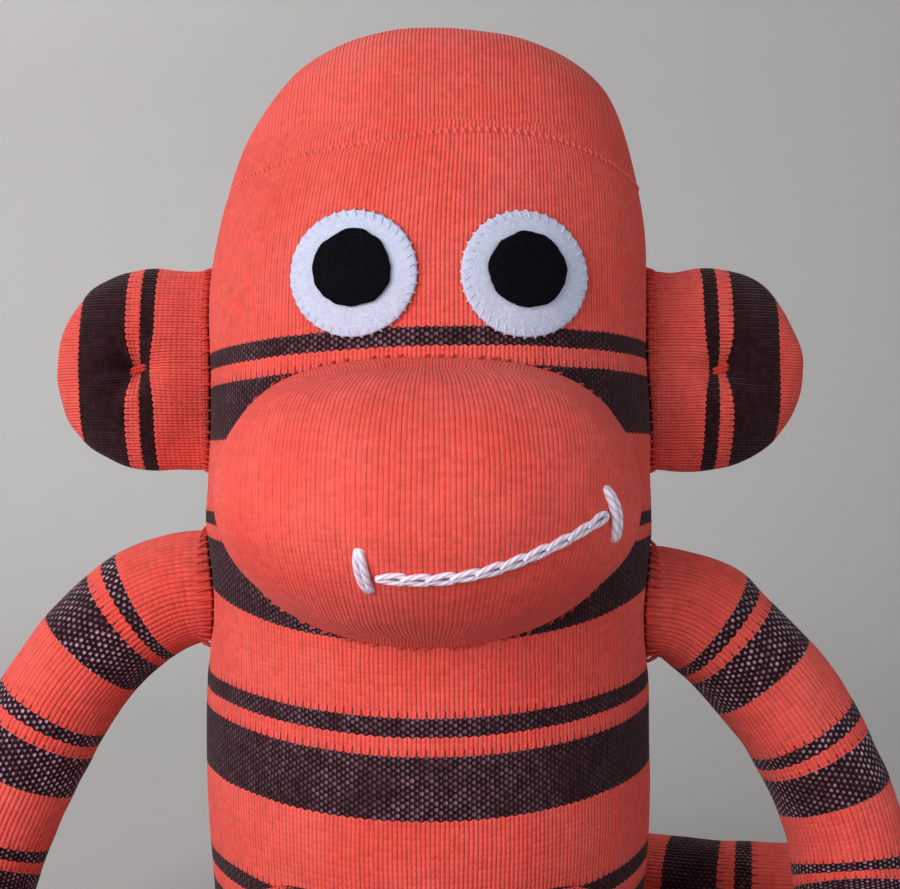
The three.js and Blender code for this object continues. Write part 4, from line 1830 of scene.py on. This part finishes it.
@dataclass
class StuffedTube:
    """A knitted tube on a curved path: an arm, a leg or the tail."""

    name: str
    path: tuple[Point, ...]
    radii: tuple[tuple[float, float], ...]
    side: Point
    way_in: Point
    wales: int
    course: float
    course_start: float
    course_way: float = -1.0
    columns: int = 60
    spacing: float = 1.9
    stretch: float = 0.6
    seed: float = 1.0
    draws_in: bool = False
    flat_floor: bool = True
    skin: bpy.types.Object = field(init=False)
    line: np.ndarray = field(init=False)
    length: float = field(init=False)

    def radius_at(self, along: float) -> float:
        """The tube's radius at a distance along it."""
        distances, sizes = zip(*self.radii)
        return float(np.interp(along, distances, sizes))

    def build(self, body: Surface, material: bpy.types.Material) -> bpy.types.Object:
        """Builds the filled skin.

        Args:
            body: the body's skin, which the root is sewn to.
            material: the knit.

        Returns:
            The skin, in one piece.
        """
        self.line = smooth_path(self.path, self.spacing, 2)
        ahead, side, up = frames_along(self.line, self.side)
        steps = np.linalg.norm(np.diff(self.line, axis=0), axis=1)
        along = np.concatenate([[0.0], np.cumsum(steps)])
        self.length = float(along[-1])
        turn = np.arange(self.columns) * 2 * math.pi / self.columns
        cosine, sine = np.cos(turn)[:, None], np.sin(turn)[:, None]
        rings, distances = [], []
        for i, centre in enumerate(self.line):
            radius = self.radius_at(along[i])
            rings.append(centre + radius * (side[i] * cosine + up[i] * sine))
            distances.append(along[i])
        rings = self._sew_root(rings, body)
        caps = len(rings) - len(self.line)
        distances = [-0.4 * (caps - k) for k in range(caps)] + distances
        radius = self.radius_at(self.length)
        for lean in np.linspace(0.13, 1.0, 11) * math.pi / 2:
            pleat = 1.0 + 0.05 * math.sin(lean) ** 8 * np.cos(turn * 11.0)[:, None]
            reach = radius * max(0.035, math.cos(lean) ** 0.85)
            dip = 1.6 * max(0.0, (lean - 1.25) / 0.32)
            centre = self.line[-1] + ahead[-1] * (radius * math.sin(lean) - dip)
            rings.append(centre + reach * pleat * (side[-1] * cosine + up[-1] * sine))
            distances.append(self.length + radius * lean)
        distances = np.array(distances)
        counts = self.course_start + self.course_way * distances / self.course
        wales = np.arange(self.columns + 1) * self.wales / self.columns
        self.skin = net(self.name, np.array(rings), wales, counts, distances)
        self._fill()
        subdivide(self.skin)
        dress(self.skin, material)
        points = points_of(self.skin)
        veil = 0.75 + 0.5 * lumps(points, 16.0, self.seed + 5.0)
        note(self.skin, "stretch", np.clip(self.stretch * veil, 0.0, 1.0))
        return self.skin

    def _sew_root(self, rings: list[np.ndarray], body: Surface) -> list[np.ndarray]:
        """Lays the root against the body, and closes it with rings that follow the body."""
        way = np.array(self.way_in, float)
        count = 5
        made = list(rings)
        for i in range(count):
            share = (1.0 - i / count) ** 2
            spots = np.array([body.hit(p, self.way_in) for p in rings[i]]) - way * 0.35
            shift = ((spots - rings[i]) @ way)[:, None] * way
            if i:
                shift = np.minimum(0.0, (shift @ way))[:, None] * way
            made[i] = rings[i] + shift * (1.0 if i == 0 else share)
        centre = made[0].mean(axis=0)
        inner = []
        for share in (0.1, 0.35, 0.6, 0.82, 0.95):
            ring = centre + (made[0] - centre) * share
            spots = np.array([body.hit(p, self.way_in) for p in ring]) - way * 0.35
            inner.append(ring + ((spots - ring) @ way)[:, None] * way)
        return [*inner, *made]

    def _fill(self) -> None:
        """Adds lumps and wrinkles, and fills the skin by simulation."""
        points = points_of(self.skin)
        rows = noted(self.skin, "along")
        free = np.clip(rows / 5.0, 0.0, 1.0)
        radius = self.radius_at(self.length)
        tip = np.clip((rows - self.length - radius * 1.2) / 3.0, 0.0, 1.0)
        push = -0.7 + 0.75 * lumps(points, 15.0, self.seed) + 0.3 * lumps(points, 6.5, self.seed)
        push *= free * (1.0 - tip)
        points = points + normals_of(self.skin) * push[:, None]
        move_points(self.skin, points)
        stuff_tight(self.skin, np.maximum(1.0 - free, tip), 2.5, 1.6)
        if self.flat_floor:
            points = points_of(self.skin)
            low = np.clip(0.9 - points[:, 2], 0.0, None)
            points[:, 2] = np.maximum(points[:, 2], 0.3 + 0.25 * np.exp(-low))
            move_points(self.skin, points)

    def draw_in(self, filling: bpy.types.Object, reach: float = 16.0, depth: float = 5.0) -> None:
        """Draws a filling's root in towards the tube's middle, clear of the sewn edge.

        Args:
            filling: the filling.
            reach: how far along the tube it is drawn in.
            depth: how far the very root is drawn in.
        """
        points = points_of(filling)
        away = -np.array(self.way_in, float)
        for k, point in enumerate(points):
            middle = self.line[np.argmin(((self.line - point) ** 2).sum(axis=1))]
            root = float((point - self.line[0]) @ away)
            share = min(1.0, max(0.0, 1.0 - root / reach))
            out = point - middle
            out -= away * float(out @ away)
            far = float(np.linalg.norm(out))
            if far > 0.0:
                points[k] = point - out / far * min(far, depth * share)
        move_points(filling, points)

    def gather(self, finishes: Finishes, name: str) -> bpy.types.Object:
        """The drawn-up thread at the tip.

        Args:
            finishes: the toy's materials.
            name: the piece's name.

        Returns:
            The thread.
        """
        ahead = self.line[-1] - self.line[-2]
        ahead /= np.linalg.norm(ahead)
        side = np.cross(ahead, (0.0, 0.0, 1.0))
        up = np.cross(side, ahead)
        tip = self.line[-1] + ahead * (self.radius_at(self.length) - 1.6)
        lines = []
        for k in range(9):
            turn = 2 * math.pi * k / 9 + 0.2 * math.sin(3.0 * k)
            out = side * math.cos(turn) + up * math.sin(turn)
            line = []
            for far, height in ((0.3, 0.9), (1.2, 1.25), (2.3, 1.3), (3.3, 0.9), (3.9, -0.2)):
                line.append(tip + out * far + ahead * height)
            lines.append(np.array(line))
        knot = []
        for turn in np.linspace(0.0, 5.2 * math.pi, 30):
            size = 1.15 - 0.03 * turn
            spot = side * math.cos(turn) * size + up * math.sin(turn) * size
            knot.append(tip + spot + ahead * (1.2 + 0.06 * turn))
        lines.append(np.array(knot))
        return strands(name, lines, 0.42, finishes.coral_thread, 8)


@dataclass(frozen=True)
class Halves:
    """A tube parted at its bend: a near half on its root, and a far half with the tip."""

    root_body: str
    near: str
    far: str
    tip: str
    suffix: str
    part: float
    inset: float
    fill: float
    root_bend: tuple[Point, Point]
    far_bend: tuple[Point, Point]

    def build(
        self, tube: "StuffedTube", body: SockBody, knit: bpy.types.Material, finishes: Finishes
    ) -> list[bpy.types.Object]:
        """Builds the tube, parts it, and joins each half to the frame.

        Args:
            tube: the tube, not built yet.
            body: the head and body.
            knit: the tube's knit.
            finishes: the toy's materials.

        Returns:
            The near skin and filling, the far skin and filling, and the tip's thread.
        """
        near = tube.build(body.surface, knit)
        fill_name = f"{self.near}_stuffing_fill{self.suffix}"
        near_fill = shrunken(near, fill_name, self.inset, finishes.filling)
        if tube.draws_in:
            tube.draw_in(near_fill)
        far = cut_at(near, self.part, f"{self.far}_skin_knit{self.suffix}")
        far_fill = cut_at(near_fill, self.part, f"{self.far}_stuffing_fill{self.suffix}")
        gather = tube.gather(finishes, f"{self.tip}_gather_thread{self.suffix}")
        near_body, far_body = self.near + self.suffix, self.far + self.suffix
        for part, skin, filling, parent, child, (start, end) in (
            (self.near, near, near_fill, self.root_body, near_body, self.root_bend),
            (self.far, far, far_fill, near_body, far_body, self.far_bend),
        ):
            for piece in (skin, filling):
                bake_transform(piece, parent, child, start=start, end=end)
            declare(skin, f"{part}_skin{self.suffix}", fill=self.fill)
            declare(filling, f"{part}_stuffing{self.suffix}")
        declare(gather, f"{self.tip}_gather{self.suffix}", far_body)
        return [near, near_fill, far, far_fill, gather]


@dataclass
class Arm:
    """A striped arm, sewn to the side of the body and bent at the elbow."""

    side: Side
    path: tuple[Point, ...]
    part: float = 58.0
    stitches: int = 38

    def build(self, body: SockBody, finishes: Finishes) -> list[bpy.types.Object]:
        """Builds and attaches the arm.

        Args:
            body: the head and body.
            finishes: the toy's materials.

        Returns:
            The arm's pieces.
        """
        word, sign = self.side.word, float(self.side.value)
        tube = StuffedTube(
            name=f"upper_arm_skin_knit_{word}",
            path=self.path,
            radii=((0.0, 12.6), (5.0, 13.4), (14.0, 14.0), (90.0, 14.0), (175.0, 13.6)),
            side=(0.0, 1.0, 0.0),
            way_in=(-sign, 0.0, 0.0),
            wales=36,
            course=1.057,
            course_start=15.0 / 1.057,
            stretch=0.95,
            seed=20.0 + sign,
        )
        root, below, elbow = (np.array(self.path[k]) * MM for k in (0, 3, 7))
        halves = Halves(
            root_body=f"shoulder_{word}",
            near="upper_arm",
            far="forearm",
            tip="paw",
            suffix=f"_{word}",
            part=self.part,
            inset=1.5,
            fill=0.9,
            root_bend=(root, below),
            far_bend=((elbow[0], 0.004, 0.034), (elbow[0], -0.022, 0.012)),
        )
        pieces = halves.build(tube, body, finishes.arm, finishes)
        stitches = self._stitches(tube, body, finishes)
        declare(stitches, f"arm_stitches_{word}", f"shoulder_{word}")
        return [*pieces, stitches]

    def _stitches(
        self, tube: StuffedTube, body: SockBody, finishes: Finishes
    ) -> bpy.types.Object:
        """Whip stitches round the arm's root."""
        surface = Surface(tube.skin)
        centre = np.array(self.path[0])
        pairs = []
        for k in range(self.stitches):
            turn = 2 * math.pi * k / self.stitches
            out = np.array([0.0, math.cos(turn), math.sin(turn)])
            slant = np.array([0.0, -out[2], out[1]]) * 0.45
            outside = centre + out * 14.0 - slant
            lifted = np.array([1.6 * self.side.value, 0.0, 0.0])
            inside = centre + out * 12.9 + slant + lifted
            pairs.append(across_edge(body.surface, outside, surface, inside))
        name = f"arm_whip_stitches_{self.side.word}"
        return strands(name, whip(pairs, 0.05), 0.22, finishes.coral_thread, 6)


@dataclass
class Leg:
    """A striped leg, one half of the sock's split cuff, with a bent knee."""

    side: Side
    part: float = 48.0

    def build(self, body: SockBody, finishes: Finishes) -> list[bpy.types.Object]:
        """Builds and attaches the leg.

        Args:
            body: the head and body.
            finishes: the toy's materials.

        Returns:
            The leg's pieces.
        """
        word, sign = self.side.word, float(self.side.value)
        tube = StuffedTube(
            name=f"thigh_skin_knit_{word}",
            path=(
                (25.0 * sign, -33.0, 20.3), (26.0 * sign, -45.0, 20.3),
                (29.5 * sign, -72.0, 20.0), (34.4 * sign, -108.0, 18.9),
                (39.6 * sign, -146.0, 18.9), (42.6 * sign, -176.0, 19.4),
            ),
            radii=((0.0, 19.0), (12.0, 19.7), (40.0, 19.6), (75.0, 17.9), (115.0, 18.5),
                   (150.0, 18.9)),
            side=(1.0, 0.0, 0.0),
            way_in=(0.0, 1.0, 0.0),
            wales=66,
            course=1.2633,
            course_start=-122.0,
            stretch=0.5,
            columns=72,
            seed=30.0 + sign,
            draws_in=True,
        )
        halves = Halves(
            root_body="torso",
            near="thigh",
            far="shin",
            tip="foot",
            suffix=f"_{word}",
            part=self.part,
            inset=1.5,
            fill=0.85,
            root_bend=((0.025 * sign, -0.034, 0.020), (0.028 * sign, -0.062, 0.020)),
            far_bend=((0.0325 * sign, -0.092, 0.019), (0.0365 * sign, -0.124, 0.019)),
        )
        return halves.build(tube, body, finishes.leg, finishes)


@dataclass
class Tail:
    """The long striped tail, sewn to the back and laid round to the monkey's left."""

    path: tuple[Point, ...] = (
        (-4.0, 44.0, 14.4), (-3.0, 52.0, 14.4), (6.0, 58.0, 14.2), (24.0, 57.5, 13.9),
        (50.0, 48.0, 13.7), (75.0, 38.0, 13.6), (98.0, 34.0, 13.6), (118.0, 37.0, 13.6),
        (136.0, 46.0, 13.6),
    )
    part: float = 66.0

    def build(self, body: SockBody, finishes: Finishes) -> list[bpy.types.Object]:
        """Builds and attaches the tail.

        Args:
            body: the head and body.
            finishes: the toy's materials.

        Returns:
            The tail's pieces.
        """
        tube = StuffedTube(
            name="tail_base_skin_knit",
            path=self.path,
            radii=((0.0, 8.5), (8.0, 10.5), (20.0, 13.3), (150.0, 13.3)),
            side=(1.0, 0.0, 0.0),
            way_in=(0.0, -1.0, 0.0),
            wales=40,
            course=1.3,
            course_start=-16.0 - 60.0 - 74.0 / 1.3,
            course_way=1.0,
            stretch=0.6,
            seed=41.0,
        )
        halves = Halves(
            root_body="torso",
            near="tail_base",
            far="tail_tip",
            tip="tail",
            suffix="",
            part=self.part,
            inset=1.4,
            fill=0.85,
            root_bend=((-0.004, 0.048, 0.014), (0.014, 0.062, 0.014)),
            far_bend=((0.062, 0.043, 0.0136), (0.090, 0.034, 0.0136)),
        )
        return halves.build(tube, body, finishes.tail, finishes)


@dataclass
class SeatSeam:
    """The closing seam under the seat, in slanted ladder stitches."""

    body: SockBody
    start: float = -24.0
    end: float = 30.0
    stitches: int = 17

    def build(self, finishes: Finishes) -> bpy.types.Object:
        """Builds the stitches.

        Args:
            finishes: the toy's materials.

        Returns:
            The stitches.
        """
        lines = []
        for k in range(self.stitches):
            y = self.start + (self.end - self.start) * k / (self.stitches - 1)
            line = []
            for share in np.linspace(0.0, 1.0, 5):
                x = -1.5 + 3.0 * share
                spot = self.body.surface.hit((x, y + share * 0.9, 0.0), (0.0, 0.0, 1.0))
                line.append(spot + (0.0, 0.0, 0.25 - 0.45 * math.sin(math.pi * share)))
            lines.append(np.array(line))
        seam = strands("seat_closing_stitches", lines, 0.32, finishes.coral_thread, 6)
        declare(seam, "", "torso")
        return seam


@dataclass
class Studio:
    """The floor, the wall, the lights and the camera."""

    camera_place: Point = (0.0046, -0.320, 0.128)
    lens: float = 56.16
    wall: float = 0.75

    def build(self) -> None:
        """Builds the studio."""
        self._sweep()
        self._light("key", (-0.80, -0.85, 0.34), (0.0, -0.02, 0.11), 0.95, 18.0, (1.0, 0.98, 0.99))
        self._light("fill", (0.80, -0.80, 0.16), (0.0, 0.0, 0.11), 0.9, 5.0, (0.90, 0.94, 1.0))
        self._light("back", (-0.45, 0.55, 0.80), (0.0, 0.2, 0.15), 0.6, 3.0, (1.0, 1.0, 1.0))
        world = bpy.data.worlds.new("studio_air")
        world.use_nodes = True
        sky = world.node_tree.nodes["Background"]
        sky.inputs["Color"].default_value = (0.94, 0.96, 1.0, 1.0)
        sky.inputs["Strength"].default_value = 0.24
        bpy.context.scene.world = world
        lens = bpy.data.cameras.new("camera")
        lens.lens = self.lens
        lens.sensor_width = 36.0
        lens.clip_start = 0.01
        camera = bpy.data.objects.new("camera", lens)
        camera.location = self.camera_place
        camera.rotation_euler = (math.radians(90.0), 0.0, 0.0)
        bpy.context.scene.collection.objects.link(camera)
        bpy.context.scene.camera = camera
        bpy.context.scene.view_settings.view_transform = "Standard"

    def _sweep(self) -> None:
        """A pale floor that curves up into a pale wall."""
        curve = [(-1.6, 0.0), (0.35, 0.0)]
        for turn in np.linspace(0.1, 1.0, 10) * math.pi / 2:
            reach = self.wall - 0.35
            curve.append((0.35 + reach * math.sin(turn), reach * (1 - math.cos(turn))))
        curve.append((self.wall, 1.6))
        deselect()
        bpy.ops.mesh.primitive_plane_add(size=1.0)
        sweep = bpy.context.active_object
        sweep.name = sweep.data.name = "studio_sweep"
        made = bmesh.new()
        rows = [[made.verts.new((x, y, z)) for x in (-2.0, 2.0)] for y, z in curve]
        for low, high in zip(rows, rows[1:]):
            made.faces.new((low[0], low[1], high[1], high[0]))
        made.to_mesh(sweep.data)
        made.free()
        bpy.ops.object.shade_smooth()
        sweep.data.materials.append(PaperFinish().material())

    def _light(
        self, name: str, place: Point, target: Point, size: float, power: float, colour: Colour
    ) -> None:
        """A square soft light.

        Args:
            name: the light's name.
            place: where it hangs.
            target: what it is turned to.
            size: its side.
            power: its power in watts.
            colour: its colour.
        """
        lamp = bpy.data.lights.new(name, "AREA")
        lamp.size = size
        lamp.energy = power
        lamp.color = colour
        light = bpy.data.objects.new(name, lamp)
        light.location = place
        way = Vector(target) - Vector(place)
        light.rotation_euler = way.to_track_quat("-Z", "Y").to_euler()
        bpy.context.scene.collection.objects.link(light)


def report(pieces: Sequence[bpy.types.Object]) -> None:
    """Logs each piece and its size."""
    for piece in pieces:
        LOG.info("%s: %d faces", piece.name, len(piece.data.polygons))


def main() -> None:
    """Builds the toy on its frame."""
    logging.basicConfig(level=logging.INFO, format="%(message)s")
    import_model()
    deselect()
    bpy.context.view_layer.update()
    Studio().build()
    finishes = Finishes.build()
    body = SockBody()
    body.build(finishes)
    report([body.skin, body.filling])
    report(ToeSeam(body).build(finishes))
    muzzle = Muzzle(body)
    report(muzzle.build(finishes))
    for side, x in ((Side.LEFT, 19.4), (Side.RIGHT, -14.4)):
        report(Eye(side, body, x).build(finishes))
    report(Mouth(muzzle).build(finishes))
    for side in Side:
        report(Ear(side, body).build(finishes))
    left_path = (
        (50.0, 0.0, 92.5), (55.5, 0.0, 92.3), (62.0, 0.0, 89.5), (72.0, 0.0, 80.5),
        (84.0, 0.0, 66.0), (93.0, 0.0, 49.0), (96.0, 0.0, 36.0), (96.0, -4.0, 24.0),
        (95.2, -13.0, 16.0), (93.0, -28.0, 14.6), (89.5, -47.0, 14.4), (85.0, -65.0, 14.4),
    )
    right_path = (
        (-50.0, 0.0, 96.0), (-55.5, 0.0, 95.8), (-62.5, 0.0, 93.5), (-73.0, 0.0, 86.5),
        (-84.0, 0.0, 73.0), (-93.0, 0.0, 55.0), (-100.5, 0.0, 38.0), (-103.5, -4.0, 24.0),
        (-103.2, -13.0, 16.0), (-101.0, -28.0, 14.6), (-97.5, -47.0, 14.4), (-93.0, -65.0, 14.4),
    )
    for side, path in ((Side.LEFT, left_path), (Side.RIGHT, right_path)):
        report(Arm(side, path).build(body, finishes))
    for side in Side:
        report(Leg(side).build(body, finishes))
    report(Tail().build(body, finishes))
    report([SeatSeam(body).build(finishes)])
    body.attach()


if __name__ == "__main__":
    main()
